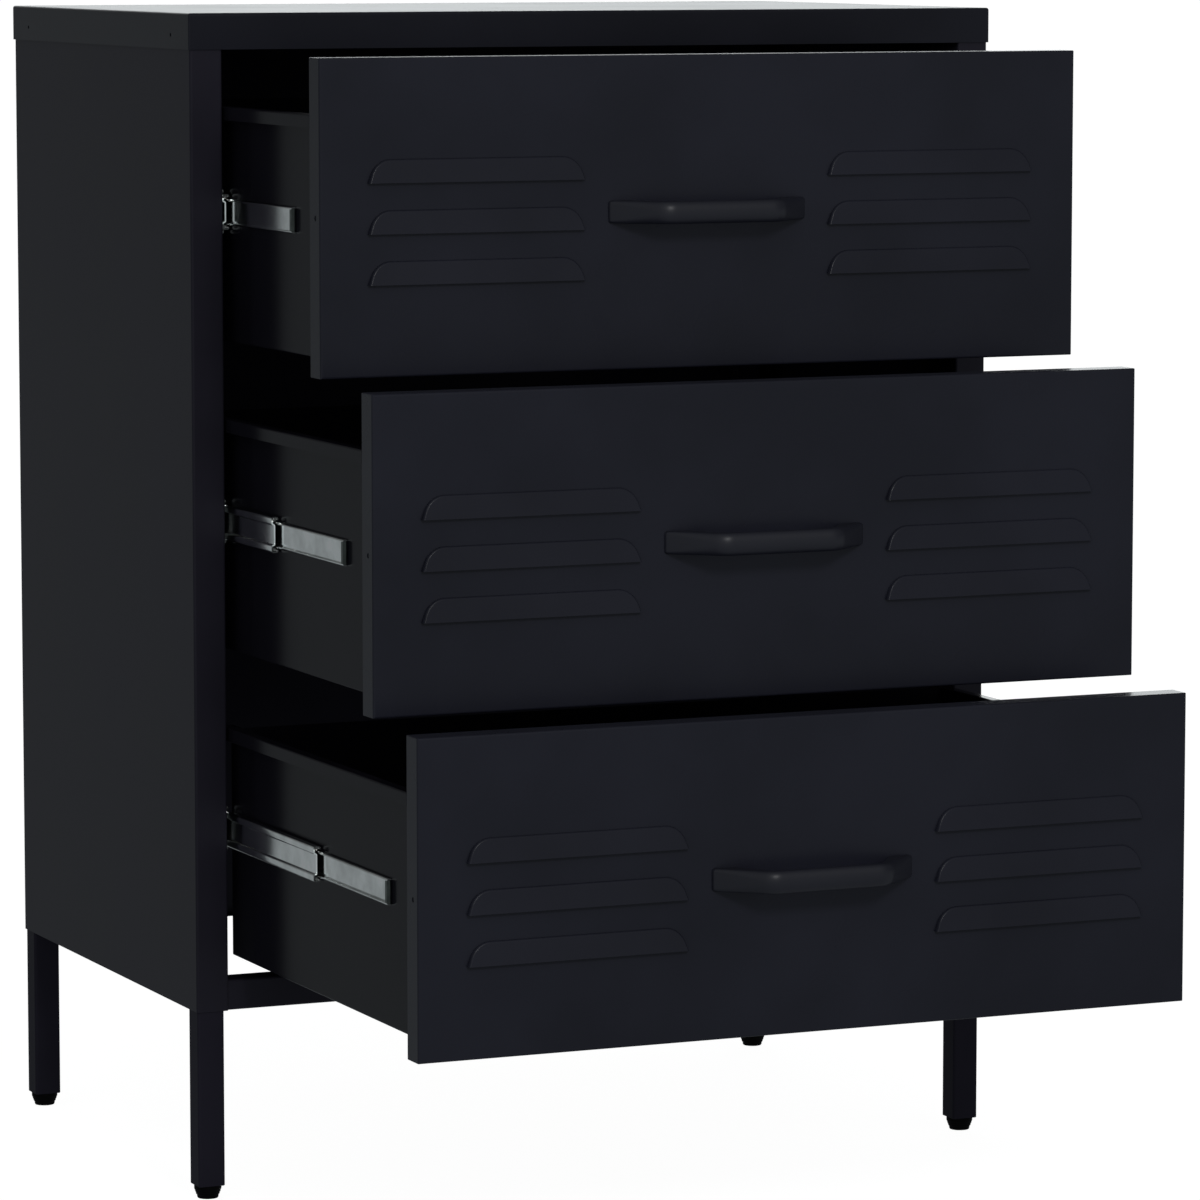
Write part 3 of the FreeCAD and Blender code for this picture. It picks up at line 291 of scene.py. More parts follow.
def finish(name):
    """Material of one of the cabinet's finishes, made the first time that it is asked for."""
    if name not in FINISHES:
        look = bpy.context.scene.cabinet_finish
        coat, side, steel, gloss = look.coat, look.side_coat, look.steel, look.coat_gloss
        lengthwise = (1.0, 0.02, 1.0)
        maker, *values = {
            "front_paint": (powder_coat, coat, 0.27, look.grain, 0.15),
            "cap_paint": (powder_coat, toned(coat, 0.76), 0.30, look.grain, 0.12),
            "body_paint": (powder_coat, side, gloss, look.grain, 0.08),
            "leg_paint": (powder_coat, toned(side, 1.1), gloss, look.grain, 0.02),
            # trays and their walls: the body's paint darkened to 0.42, painted shade for the trays
            # set inside the cabinet
            "tray_paint": (powder_coat, toned(side, 0.42), 0.18, False, 0.06),
            "handle_paint": (powder_coat, toned(coat, 0.85), 0.38, False, 0.28),
            "moulded_plastic": (moulded_plastic, look.plastic, 0.05),
            "stop_plastic": (moulded_plastic, look.stop, 0.25),
            "rail_zinc": (plated_steel, look.zinc, 0.13, lengthwise),
            "retainer_steel": (plated_steel, toned(steel, 0.7), 0.34, lengthwise),
            "ball_steel": (plated_steel, steel, 0.10, (1.0, 1.0, 1.0), 0.00001),
            "screw_zinc": (plated_steel, steel, 0.28),
        }[name]
        FINISHES[name] = maker(name, *values)
    return FINISHES[name]


# Meshes

def shaded(mesh, angle=HARD_EDGE):
    """Smooth shading with hard edges where the faces turn by more than the angle."""
    mesh.shade_smooth()
    mesh.set_sharp_from_angle(angle=math.radians(angle))


def linked(name, mesh):
    """Object with a mesh, at the origin."""
    piece = bpy.data.objects.new(name, mesh)
    bpy.context.scene.collection.objects.link(piece)
    return piece


def mesh_piece(name, corners, faces, material, angle=HARD_EDGE):
    """Object with a mesh from corners and faces, at the origin."""
    mesh = bpy.data.meshes.new(name)
    mesh.from_pydata([tuple(corner) for corner in corners], [], faces)
    mesh.validate()
    mesh.update()
    shaded(mesh, angle)
    mesh.materials.append(material)
    return linked(name, mesh)


def settle(piece):
    """A piece and its modifiers made one plain mesh."""
    graph = bpy.context.evaluated_depsgraph_get()
    graph.update()
    shape = bpy.data.meshes.new_from_object(piece.evaluated_get(graph))
    piece.modifiers.clear()
    former = piece.data
    piece.data = shape
    shape.name = piece.name
    if former.users == 0:
        bpy.data.meshes.remove(former)
    shaded(shape)
    return piece


def dropped(piece):
    """Removes a helper piece."""
    mesh = piece.data
    bpy.data.objects.remove(piece)
    bpy.data.meshes.remove(mesh)


def join(piece, *others):
    """Adds the meshes of other pieces to a piece and removes them."""
    shape = bmesh.new()
    for part in (piece, *others):
        shape.from_mesh(part.data)
    shape.to_mesh(piece.data)
    shape.free()
    for other in others:
        dropped(other)
    shaded(piece.data)
    return piece


def cut_away(piece, *cutters):
    """Takes the cutters' space out of a piece and removes the cutters."""
    cutter = join(*cutters)
    tool = piece.modifiers.new("cut", "BOOLEAN")
    tool.operation = "DIFFERENCE"
    tool.solver = "EXACT"
    tool.object = cutter
    settle(piece)
    dropped(cutter)


def lofted(name, rings, material, angle=HARD_EDGE, tube=False):
    """Solid through rings of equal length; a tube runs on from its last ring to its first."""
    count = len(rings[0])
    corners = [corner for ring in rings for corner in ring]
    faces = []
    for level in range(len(rings) if tube else len(rings) - 1):
        here = level * count
        there = (level + 1) % len(rings) * count
        for k in range(count):
            after = (k + 1) % count
            faces.append((here + k, here + after, there + after, there + k))
    if not tube:
        faces.append(tuple(reversed(range(count))))
        faces.append(tuple(range(len(corners) - count, len(corners))))
    return facing_outwards(mesh_piece(name, corners, faces, material, angle))


def facing_outwards(piece):
    """Turns every face of a closed piece outwards."""
    shape = bmesh.new()
    shape.from_mesh(piece.data)
    bmesh.ops.recalc_face_normals(shape, faces=shape.faces)
    shape.to_mesh(piece.data)
    shape.free()
    return piece


def prism(name, outline, run, spot, material):
    """Solid between two copies of an outline; spot(u, v, w) turns its coordinates into a place."""
    return lofted(name, [[spot(u, v, w) for u, v in outline] for w in run], material)


def circle(radius, sides, centre=(0.0, 0.0)):
    """Points round a circle."""
    return [(centre[0] + radius * math.cos(math.tau * k / sides),
             centre[1] + radius * math.sin(math.tau * k / sides)) for k in range(sides)]


def rectangle(low, high):
    """Corners of a rectangle."""
    return [low, (high[0], low[1]), high, (low[0], high[1])]


def rod(name, radius, run, spot, centre, material, sides=24):
    """Round bar along the run of spot."""
    return prism(name, circle(radius, sides, centre), run, spot, material)


def turned_solid(name, profile, spot, material, sides=24, angle=HARD_EDGE):
    """Solid of revolution from (radius, level) pairs, closed at both ends."""
    return lofted(name, [[spot(u, v, level) for u, v in circle(radius, sides)]
                         for radius, level in profile], material, angle)


def along_x(u, v, w):
    """Outline seen from the side, run to the right."""
    return (w, u, v)


def along_y(u, v, w):
    """Outline in the plane seen from the front, run towards the rear."""
    return (u, w, v)


def along_z(u, v, w):
    """Outline in plan, run upwards."""
    return (u, v, w)


def on_hand(sign, spot):
    """The same places on the left (sign 1), or mirrored to the right (sign -1)."""
    return lambda u, v, w: (sign * spot(u, v, w)[0],) + spot(u, v, w)[1:]


def legs_path(start, legs):
    """Corners of a path that starts at a point and runs along (direction, length) legs."""
    ways = {"up": (0, 1), "down": (0, -1), "left": (-1, 0), "right": (1, 0)}
    path = [Vector(start)]
    for way, reach in legs:
        path.append(path[-1] + Vector(ways[way]) * reach)
    return path


def right_hand(before, after):
    """Normal on the right-hand side of a run."""
    run = (after - before).normalized()
    return Vector((run.y, -run.x))


def corner_arc(path, k, radius, steps):
    """Arc that rounds a corner of a path; returns (its points, how far it reaches)."""
    before = (path[k - 1] - path[k]).normalized()
    after = (path[k + 1] - path[k]).normalized()
    turn = math.pi - before.angle(after)
    reach = radius * math.tan(turn / 2)
    centre = path[k] + (before + after).normalized() * (radius / math.cos(turn / 2))
    first = path[k] + before * reach - centre
    last = path[k] + after * reach - centre
    shares = [step / steps for step in range(steps + 1)]
    return [centre + first * (math.sin((1 - share) * turn) / math.sin(turn))
            + last * (math.sin(share * turn) / math.sin(turn)) for share in shares], reach


def soft_path(path, radii):
    """Path whose corners are arcs, with a support point on each side of an arc."""
    points = [path[0]]
    for k, radius in enumerate(radii, 1):
        arc, reach = corner_arc(path, k, radius, BEND_STEPS)
        legs = (path[k - 1] - path[k], path[k + 1] - path[k])
        room = min(leg.length for leg in legs) / 2
        support = min(SUPPORT, max(room - reach, 0.0) / 2)
        if support > LEAST_SUPPORT:
            arc = ([arc[0] + legs[0].normalized() * support] + arc
                   + [arc[-1] + legs[1].normalized() * support])
        points += arc
    return points + [path[-1]]


def folded_sheet(name, start, legs, steel, bend, spot, run, material):
    """Sheet folded along a path, its thickness to the path's right, from one place to another."""
    path = legs_path(start, legs)
    normals = [right_hand(path[k], path[k + 1]) for k in range(len(path) - 1)]
    inner = [path[0] + normals[0] * steel]
    radii = []
    inner_radii = []
    for k in range(1, len(path) - 1):
        inner.append(path[k] + (normals[k - 1] + normals[k]) * steel)
        turns_right = (path[k] - path[k - 1]).cross(path[k + 1] - path[k]) < 0
        radii.append(bend + steel if turns_right else bend)
        inner_radii.append(bend if turns_right else bend + steel)
    inner.append(path[-1] + normals[-1] * steel)
    outline = soft_path(path, radii) + list(reversed(soft_path(inner, inner_radii)))
    return prism(name, outline, run, spot, material)


def rounded_ring(low, high, corner, steps, inset=0.0):
    """Counter-clockwise ring in a rectangle: rounded corners with support points beside them."""
    left, front = (least + inset + corner for least in low[:2])
    right, rear = (most - inset - corner for most in high[:2])
    ring = []
    for quarter, centre in enumerate(rectangle((right, rear), (left, front))):
        for step in range(-1, steps + 2):
            angle = math.pi / 2 * (quarter + min(max(step, 0), steps) / steps)
            beyond = SUPPORT * (min(step, 0) + max(step - steps, 0))
            ring.append((centre[0] + corner * math.cos(angle) - beyond * math.sin(angle),
                         centre[1] + corner * math.sin(angle) + beyond * math.cos(angle)))
    return ring


def pan(name, low, high, depth, steel, bend, corner, spot, material):
    """Sheet folded into a shallow pan: its face at zero, its open side at the depth."""
    least_corner = 0.00004
    levels = [(bend + SUPPORT, 0.0)]
    for step in range(BEND_STEPS + 1):
        angle = math.pi / 2 * step / BEND_STEPS
        levels.append((bend * (1 - math.sin(angle)), bend * (1 - math.cos(angle))))
    levels += [(0.0, bend + SUPPORT), (0.0, depth), (steel, depth), (steel, steel)]
    rings = []
    for inset, level in levels:
        ring = rounded_ring(low, high, max(corner - inset, least_corner), 3, inset)
        rings.append([spot(u, v, level) for u, v in ring])
    return lofted(name, rings, material)


# Geometry node trees

def shared_tree(name, inputs, fill):
    """Geometry node tree with inputs by name and kind, made once.

    fill(tree, given) returns the node of its instances, which are made real and painted.
    """
    if name in bpy.data.node_groups:
        return bpy.data.node_groups[name]
    tree = bpy.data.node_groups.new(name, "GeometryNodeTree")
    sockets = [("INPUT", "Geometry", "Geometry"), ("INPUT", "Material", "Material"),
               ("OUTPUT", "Geometry", "Geometry")]
    for way, socket, kind in sockets + [("INPUT", *pair) for pair in inputs.items()]:
        tree.interface.new_socket(socket, in_out=way, socket_type=f"NodeSocket{kind}")
    given = node(tree, "NodeGroupInput").outputs
    real = node(tree, "GeometryNodeRealizeInstances", {"Geometry": fill(tree, given)})
    paint = node(tree, "GeometryNodeSetMaterial", {"Geometry": real,
                                                   "Material": given["Material"]})
    node(tree, "NodeGroupOutput", {"Geometry": paint})
    return tree


def copies_on_grid():
    """Tree that sets copies of one piece on an upright or level grid."""
    def fill(tree, given):
        def reach(count, spacing):
            less = node(tree, "ShaderNodeMath", {0: given[count], 1: 1.0}, operation="SUBTRACT")
            return node(tree, "ShaderNodeMath", {0: less, 1: given[spacing]},
                        operation="MULTIPLY")

        grid = node(tree, "GeometryNodeMeshGrid", {
            "Size X": reach("Columns", "Column spacing"), "Size Y": reach("Rows", "Row spacing"),
            "Vertices X": given["Columns"], "Vertices Y": given["Rows"]})
        turned = node(tree, "GeometryNodeTransform", {
            "Geometry": grid, "Translation": given["Middle"], "Rotation": given["Turn"]})
        source = node(tree, "GeometryNodeObjectInfo", {"Object": given["Piece"]})
        return node(tree, "GeometryNodeInstanceOnPoints", {
            "Points": turned, "Instance": source.outputs["Geometry"]})

    return shared_tree("Copies on a grid", {
        "Piece": "Object", "Columns": "Int", "Rows": "Int", "Column spacing": "Float",
        "Row spacing": "Float", "Middle": "Vector", "Turn": "Vector"}, fill)


def balls_on_lines():
    """Tree that lines up balls at an even pitch along the edges of its geometry."""
    def fill(tree, given):
        lines = node(tree, "GeometryNodeMeshToCurve", {"Mesh": given["Geometry"]})
        stations = node(tree, "GeometryNodeResampleCurve", {
            "Curve": lines, "Length": given["Pitch"]}, mode="LENGTH")
        half = node(tree, "ShaderNodeMath", {0: given["Ball"], 1: 0.5}, operation="MULTIPLY")
        ball = node(tree, "GeometryNodeMeshUVSphere", {"Segments": 12, "Rings": 8,
                                                       "Radius": half})
        smooth = node(tree, "GeometryNodeSetShadeSmooth", {"Geometry": ball})
        return node(tree, "GeometryNodeInstanceOnPoints", {"Points": stations,
                                                           "Instance": smooth})

    return shared_tree("Balls along lines", {"Ball": "Float", "Pitch": "Float"}, fill)


def grown(piece, tree, values):
    """Runs a tree on a piece with the values of its inputs and keeps the plain mesh."""
    modifier = piece.modifiers.new(tree.name, "NODES")
    modifier.node_group = tree
    for socket in tree.interface.items_tree:
        if socket.in_out == "INPUT" and socket.name in values:
            modifier[socket.identifier] = values[socket.name]
    return settle(piece)


def copied(name, piece, counts, spacings, middle, turn, material):
    """Copies of a piece on a grid of columns and rows, as one new piece in its place."""
    copies = grown(mesh_piece(name, [], [], material), copies_on_grid(), {
        "Piece": piece, "Columns": counts[0], "Rows": counts[1], "Column spacing": spacings[0],
        "Row spacing": spacings[1], "Middle": middle, "Turn": turn, "Material": material})
    dropped(piece)
    return copies


def placed(piece, body, shown=None):
    """Puts a piece on its body; shown is the CAD node that it stands for, which is hidden."""
    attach(piece, body)
    if shown:
        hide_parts(shown)


# The body of the cabinet

class CABINET_OT_cap(bpy.types.Operator):
    """Folded cap with its hanging holes"""

    bl_idname = "cabinet.cap"
    bl_label = "Cap"

    def execute(self, context):
        sizes = context.scene.cabinet_sizes
        paint = finish("cap_paint")
        low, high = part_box("top_cap")
        cap = pan("cap", low.xy, high.xy, high.z - low.z, sizes.cap_steel, sizes.cap_bend,
                  CAP_CORNER, lambda u, v, w: (u, v, high.z - w), paint)
        for y in (low.y + CAP_HOLE["inset"], high.y - CAP_HOLE["inset"]):
            cut_away(cap, rod("hole", CAP_HOLE["radius"], (low.x - CLEAR, high.x + CLEAR), along_x,
                              (y, high.z - CAP_HOLE["drop"]), paint))
        placed(cap, "cabinet", "top_cap")
        return {"FINISHED"}


class CABINET_OT_panels(bpy.types.Operator):
    """Side panels with their folded posts, back panel and bottom rail"""

    bl_idname = "cabinet.panels"
    bl_label = "Side panels, back and rail"

    def execute(self, context):
        sizes = context.scene.cabinet_sizes
        paint = finish("body_paint")
        low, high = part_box("left_side_panel")
        width = high.x - low.x
        legs = [("down", sizes.post_return), ("left", width), ("up", high.y - low.y),
                ("right", width), ("down", sizes.post_return)]
        for hand, sign in HANDS:
            side = folded_sheet(f"{hand}_side", (high.x, low.y + sizes.post_return), legs,
                                sizes.side_steel, sizes.side_bend, on_hand(sign, along_z),
                                (low.z, high.z), paint)
            placed(side, "cabinet", f"{hand}_side_panel")
        back_low, back_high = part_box("back_panel")
        back = pan("back", back_low.xz, back_high.xz, back_high.y - back_low.y,
                   sizes.back_steel, BACK_BEND, BACK_CORNER,
                   lambda u, v, w: (u, back_high.y - w, v), paint)
        placed(back, "cabinet", "back_panel")
        low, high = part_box("bottom_rail")
        depth = high.y - low.y
        legs = [("left", depth), ("up", high.z - low.z), ("right", depth)]
        rail = folded_sheet("front_rail", (high.y, low.z), legs, sizes.side_steel,
                            sizes.side_bend, along_x, (low.x, high.x), paint)
        placed(rail, "cabinet", "bottom_rail")
        return {"FINISHED"}


class CABINET_OT_legs(bpy.types.Operator):
    """Square tube legs"""

    bl_idname = "cabinet.legs"
    bl_label = "Legs"

    def execute(self, context):
        sizes = context.scene.cabinet_sizes
        wall = sizes.leg_wall
        inner_corner = sizes.leg_corner - wall + TUBE_CORNER_GAIN
        for corner in CORNERS:
            low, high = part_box(f"{corner}_leg")
            rings = []
            for inset, level in ((0.0, high.z), (0.0, low.z + LEG_EDGE), (LEG_EDGE, low.z),
                                 (wall, low.z), (wall, high.z)):
                softness = max(sizes.leg_corner - inset, inner_corner)
                ring = rounded_ring(low, high, softness, 5, inset)
                rings.append([(u, v, level) for u, v in ring])
            leg = lofted(f"{corner}_tube", rings, finish("leg_paint"), tube=True)
            placed(leg, "cabinet", f"{corner}_leg")
        return {"FINISHED"}


class CABINET_OT_feet(bpy.types.Operator):
    """Moulded feet with their plugs under the legs"""

    bl_idname = "cabinet.feet"
    bl_label = "Feet"

    def execute(self, context):
        plastic = finish("moulded_plastic")
        low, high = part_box("feet")
        foot = turned_solid("foot_form", FOOT_PROFILE, along_z, plastic, sides=40, angle=28.0)
        ring = rounded_ring((-PLUG_HALF, -PLUG_HALF), (PLUG_HALF, PLUG_HALF), PLUG_CORNER, 3)
        join(foot, prism("plug", ring, (FOOT_TOP, high.z), along_z, plastic))
        spacings = (high.x - low.x - 2 * FOOT_RADIUS, high.y - low.y - 2 * FOOT_RADIUS)
        feet = copied("leg_feet", foot, (2, 2), spacings, Vector((0.0, (low.y + high.y) / 2, 0.0)),
                      Vector(), plastic)
        placed(feet, "cabinet", "feet")
        return {"FINISHED"}


# The drawers

def louvre_rim(sizes, inset):
    """Louvre's outline from the left end of its mouth over the brow to the right end."""
    lean = sizes.lean
    radius = sizes.corner - inset
    half = sizes.length / 2
    reach = sizes.corner * math.tan((math.pi / 2 - lean) / 2)
    centre_x = -half + math.tan(lean) * sizes.height + reach
    centre_z = sizes.height - sizes.corner
    foot_x = -half + inset / math.cos(lean)
    arc_x = centre_x - radius * math.cos(lean)
    arc_z = centre_z + radius * math.sin(lean)
    left = [(foot_x, 0.0), ((foot_x + arc_x) / 2, arc_z / 2)]
    steps = 9
    for step in range(steps + 1):
        angle = math.pi - lean - (math.pi / 2 - lean) * step / steps
        left.append((centre_x + radius * math.cos(angle), centre_z + radius * math.sin(angle)))
    left.append((left[-1][0] + SUPPORT, left[-1][1]))
    return left + [(-x, z) for x, z in reversed(left)]


def louvre_hood(sizes, steel, material):
    """One pressed louvre, open along its mouth: outside, inside and the edges between them."""
    steps = 6
    turns = [math.pi / 2 * step / steps for step in range(steps + 1)]
    profile = [(1 - math.cos(turn), math.sin(turn)) for turn in turns]
    profile.append((1 + SUPPORT / sizes.shoulder, 1.0))
    outer = []
    for share, lift in profile:
        for x, z in louvre_rim(sizes, share * sizes.shoulder):
            stand = sizes.mouth - (sizes.mouth - sizes.brow) * z / sizes.height
            outer.append((x, -stand * lift, z))
    inner = [(x, y + steel, z) for x, y, z in outer]
    side = len(outer)
    levels = len(profile)
    count = side // levels
    faces = []
    for level in range(levels - 1):
        for k in range(count - 1):
            here = level * count + k
            faces.append((here, here + 1, here + count + 1, here + count))
            here += side
            faces.append((here, here + count, here + count + 1, here + 1))
        for end in (0, count - 1):
            here = level * count + end
            quad = (here, here + count, side + here + count, side + here)
            faces.append(quad if end == 0 else tuple(reversed(quad)))
    last = side - count
    faces.append(tuple(range(last, side)))
    faces.append(tuple(reversed(range(side + last, 2 * side))))
    faces.append((last, side + last, 2 * side - 1, side - 1))
    for k in range(count - 1):
        faces.append((k, side + k, side + k + 1, k + 1))
    return facing_outwards(mesh_piece("louvre_hood", outer + inner, faces, material,
                                      LOUVRE_EDGE))


class CABINET_OT_fronts(bpy.types.Operator):
    """Drawer fronts: folded sheets with the windows of their louvres and their holes"""

    bl_idname = "cabinet.fronts"
    bl_label = "Drawer fronts"

    def execute(self, context):
        sizes = context.scene.cabinet_sizes
        louvre = context.scene.louvre_sizes
        screw = context.scene.handle_sizes.screw_spacing / 2
        paint = finish("front_paint")
        for label in DRAWERS:
            low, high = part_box(f"{label}_drawer_front")
            face = high.y - FRONT_DEPTH
            through = [face + reach for reach in THROUGH]
            sheet = pan(f"{label}_front", low.xz, high.xz, FRONT_DEPTH, sizes.front_steel,
                        sizes.front_bend, FRONT_CORNER, lambda u, v, w: (u, face + w, v), paint)
            middle = high.x - louvre.inset - louvre.length / 2
            windows = []
            for row in range(louvre.rows):
                level = low.z + louvre.rise + row * louvre.pitch
                for side in (-1, 1):
                    outline = [(side * middle + x, level + z) for x, z in louvre_rim(louvre, 0.0)]
                    windows.append(prism("window", outline, through, along_y, paint))
            for side in (-1, 1):
                windows.append(rod("screw_hole", SCREW_HOLE, through, along_y,
                                   (side * screw, low.z + SCREWS_ON_FRONT), paint))
            windows.append(rod("flange_hole", FLANGE_HOLE["radius"],
                               (low.x - CLEAR, high.x + CLEAR), along_x,
                               (face + FLANGE_HOLE["depth"], low.z + FLANGE_HOLE["level"]), paint,
                               sides=20))
            cut_away(sheet, *windows)
            placed(sheet, f"{label}_drawer", f"{label}_drawer_front")
        return {"FINISHED"}


class CABINET_OT_louvres(bpy.types.Operator):
    """Louvres pressed out of the drawer fronts"""

    bl_idname = "cabinet.louvres"
    bl_label = "Louvres"

    def execute(self, context):
        louvre = context.scene.louvre_sizes
        paint = finish("front_paint")
        for label in DRAWERS:
            low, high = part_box(f"{label}_drawer_front")
            hood = louvre_hood(louvre, context.scene.cabinet_sizes.front_steel, paint)
            spacing = 2 * (high.x - louvre.inset - louvre.length / 2)
            level = low.z + louvre.rise + louvre.pitch * (louvre.rows - 1) / 2
            louvres = copied(f"{label}_louvres", hood, (2, louvre.rows), (spacing, louvre.pitch),
                             Vector((0.0, high.y - FRONT_DEPTH, level)),
                             Vector((math.pi / 2, 0.0, 0.0)), paint)
            shaded(louvres.data, LOUVRE_EDGE)
            placed(louvres, f"{label}_drawer")
        return {"FINISHED"}


def bow_line(path, radius, shares):
    """Points along a path of one bend: down its first leg, round the bend and on to its end."""
    arc = corner_arc(path, 1, radius, 10)[0]
    return ([path[0] + (arc[0] - path[0]) * share for share in shares] + arc
            + [arc[-1] + (path[2] - arc[-1]) * share for share in (0.06, 0.5)])


def bow_edges(sizes, half, reach):
    """Pairs of (front point, rear point) along half of the bow, from its foot to its middle."""
    bar = sizes.bar / 2
    inside = reach - sizes.thickness
    toe = Vector((-half + sizes.foot, 0.0))
    front = [Vector((-half, -sizes.heel)), Vector((-bar, -reach)), Vector((0.0, -reach))]
    rear = [toe, Vector((-(bar - sizes.thickness / 2), -inside)), Vector((0.0, -inside))]
    shares = (0.0, 0.04, 0.12, 0.35, 0.65, 0.88)
    return [(Vector((-half, 0.0)), toe)] + list(zip(
        bow_line(front, sizes.bend, shares),
        bow_line(rear, sizes.bend - sizes.thickness, shares)))


def bow_section(front, rear, height, crown, rear_edge):
    """Rounded section from the bow's front to its rear; crown is (depth, height)."""
    run = rear - front
    width = run.length
    run.normalize()
    edge = (rear_edge, rear_edge)
    quarters = ((crown[0], 1, crown, math.pi), (width - rear_edge, 1, edge, math.pi / 2),
                (width - rear_edge, -1, edge, 0.0), (crown[0], -1, crown, -math.pi / 2))
    steps = 8
    corners = []
    for centre_depth, sign, radii, start in quarters:
        for step in range(steps + 1):
            angle = start - math.pi / 2 * step / steps
            depth = centre_depth + radii[0] * math.cos(angle)
            level = sign * (height / 2 - radii[1]) + radii[1] * math.sin(angle)
            corners.append((front.x + run.x * depth, front.y + run.y * depth, level))
    return corners


class CABINET_OT_handles(bpy.types.Operator):
    """Bow handles on sloping feet"""

    bl_idname = "cabinet.handles"
    bl_label = "Handles"

    def execute(self, context):
        sizes = context.scene.handle_sizes
        edge = sizes.foot_edge
        for label in DRAWERS:
            low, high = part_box(f"{label}_drawer_handle")
            height = high.z - low.z
            left = []
            for front, rear in bow_edges(sizes, high.x, high.y - low.y):
                share = min(1.0, max(0.0, (high.x + front.x) / (high.x - sizes.bar / 2)))
                share = share * share * (3 - 2 * share)
                crown = (edge + (sizes.crown - edge) * share,
                         edge + (height / 2 - sizes.flat - edge) * share)
                left.append(bow_section(front, rear, height, crown, sizes.rear_edge))
            right = [[(-x, y, z) for x, y, z in ring] for ring in reversed(left)]
            rings = [[(x, y + high.y, z + (high.z + low.z) / 2) for x, y, z in ring]
                     for ring in left + right]
            bow = lofted(f"{label}_handle", rings, finish("handle_paint"), ROUND_EDGE)
            placed(bow, f"{label}_drawer", f"{label}_drawer_handle")
        return {"FINISHED"}


class CABINET_OT_trays(bpy.types.Operator):
    """Drawer trays with their rims, inner fronts and backs"""

    bl_idname = "cabinet.trays"
    bl_label = "Trays"

    def execute(self, context):
        sizes = context.scene.cabinet_sizes
        screw = context.scene.handle_sizes.screw_spacing / 2
        for label in DRAWERS:
            self.tray(sizes, label)
            self.end_wall(sizes, label, "inner_wall", "inner_front", (-screw, screw))
            self.end_wall(sizes, label, "rear_wall", "back")
        return {"FINISHED"}

    def tray(self, sizes, label):
        """Sides and floor of a drawer in one sheet, its rims cut off at the front end."""
        paint = finish("tray_paint")
        steel, lip = sizes.tray_steel, sizes.tray_lip
        low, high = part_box(f"{label}_drawer_tray")
        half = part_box(f"{label}_drawer_inner_front")[1].x
        rim = high.x - half
        depth = high.z - low.z - steel
        legs = [("up", lip), ("right", rim), ("down", depth), ("right", 2 * half), ("up", depth),
                ("right", rim), ("down", lip)]
        tray = folded_sheet(f"{label}_tray", (low.x, high.z - lip), legs, steel, TRAY_BEND,
                            along_y, (low.y, high.y), paint)
        rim_end = rectangle((half + steel + LIP_GAP, high.z - lip - CLEAR),
                            (high.x + CLEAR, high.z + CLEAR))
        cut_away(tray, *[prism("notch", rim_end, (low.y - CLEAR, low.y + LIP_START),
                               on_hand(sign, along_y), paint) for sign in (-1, 1)])
        placed(tray, f"{label}_drawer", f"{label}_drawer_tray")

    def end_wall(self, sizes, label, name, shown, screws=()):
        """Wall between a tray's sides, with a tab at each end and holes for screws."""
        paint = finish("tray_paint")
        low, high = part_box(f"{label}_drawer_{shown}")
        tab = high.y - low.y
        wall = folded_sheet(f"{label}_{name}", (high.x, high.y),
                            [("down", tab), ("left", 2 * high.x), ("up", tab)], sizes.tray_steel,
                            TRAY_BEND, along_z, (low.z, high.z), paint)
        if screws:
            cut_away(wall, *[rod("drill", SCREW_HOLE, (low.y - CLEAR, low.y + CLEAR), along_y,
                                 (x, low.z + SCREWS_ON_WALL), paint) for x in screws])
        placed(wall, f"{label}_drawer", f"{label}_drawer_{shown}")


class CABINET_OT_screws(bpy.types.Operator):
    """Hexagon-head screws that hold the handles from inside the drawers"""

    bl_idname = "cabinet.screws"
    bl_label = "Handle screws"

    def execute(self, context):
        spacing = context.scene.handle_sizes.screw_spacing
        zinc = finish("screw_zinc")
        for label in DRAWERS:
            low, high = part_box(f"{label}_handle_screws")
            across = (high.z - low.z) / math.sqrt(3)
            end = high.y - low.y
            head = end - SCREW_HEAD
            screw = turned_solid("shank", SCREW_TIP + ((SCREW_TIP[-1][0], head),), along_y, zinc)
            rings = []
            for share, drop in ((1.0, SCREW_HEAD),) + SCREW_CROWN:
                rings.append([along_y(u, v, end - drop) for u, v in self.hexagon(across * share)])
            join(screw, lofted("head", rings, zinc))
            screws = copied(f"{label}_screws", screw, (2, 1), (spacing, 0.0),
                            Vector((0.0, low.y, (low.z + high.z) / 2)), Vector(), zinc)
            placed(screws, f"{label}_drawer", f"{label}_handle_screws")
        return {"FINISHED"}

    def hexagon(self, across):
        """Points round a hexagon, four to a side."""
        half = math.pi / 6
        ring = []
        for u, v in circle(across * math.cos(half), 24):
            stretch = math.cos((math.atan2(v, u) + half) % (2 * half) - half)
            ring.append((u / stretch, v / stretch))
        return ring


# The slides

def rail_legs(kind, low, high):
    """Start and legs of a rail's folded path, seen from the front, on the left-hand side."""
    height = high.z - low.z
    depth = high.x - low.x
    lip = RAIL_LIPS[kind]
    if kind == "drawer":
        return (low.x, high.z - lip), [("up", lip), ("right", depth), ("down", height),
                                       ("left", depth), ("up", lip)]
    web = [("up", height)]
    if kind == "middle":
        web = [("up", MIDDLE_BAND), ("right", MIDDLE_STEP), ("up", height - 2 * MIDDLE_BAND),
               ("left", MIDDLE_STEP), ("up", MIDDLE_BAND)]
    return (high.x, low.z + lip), [("down", lip), ("left", depth), *web, ("right", depth),
                                   ("down", lip)]


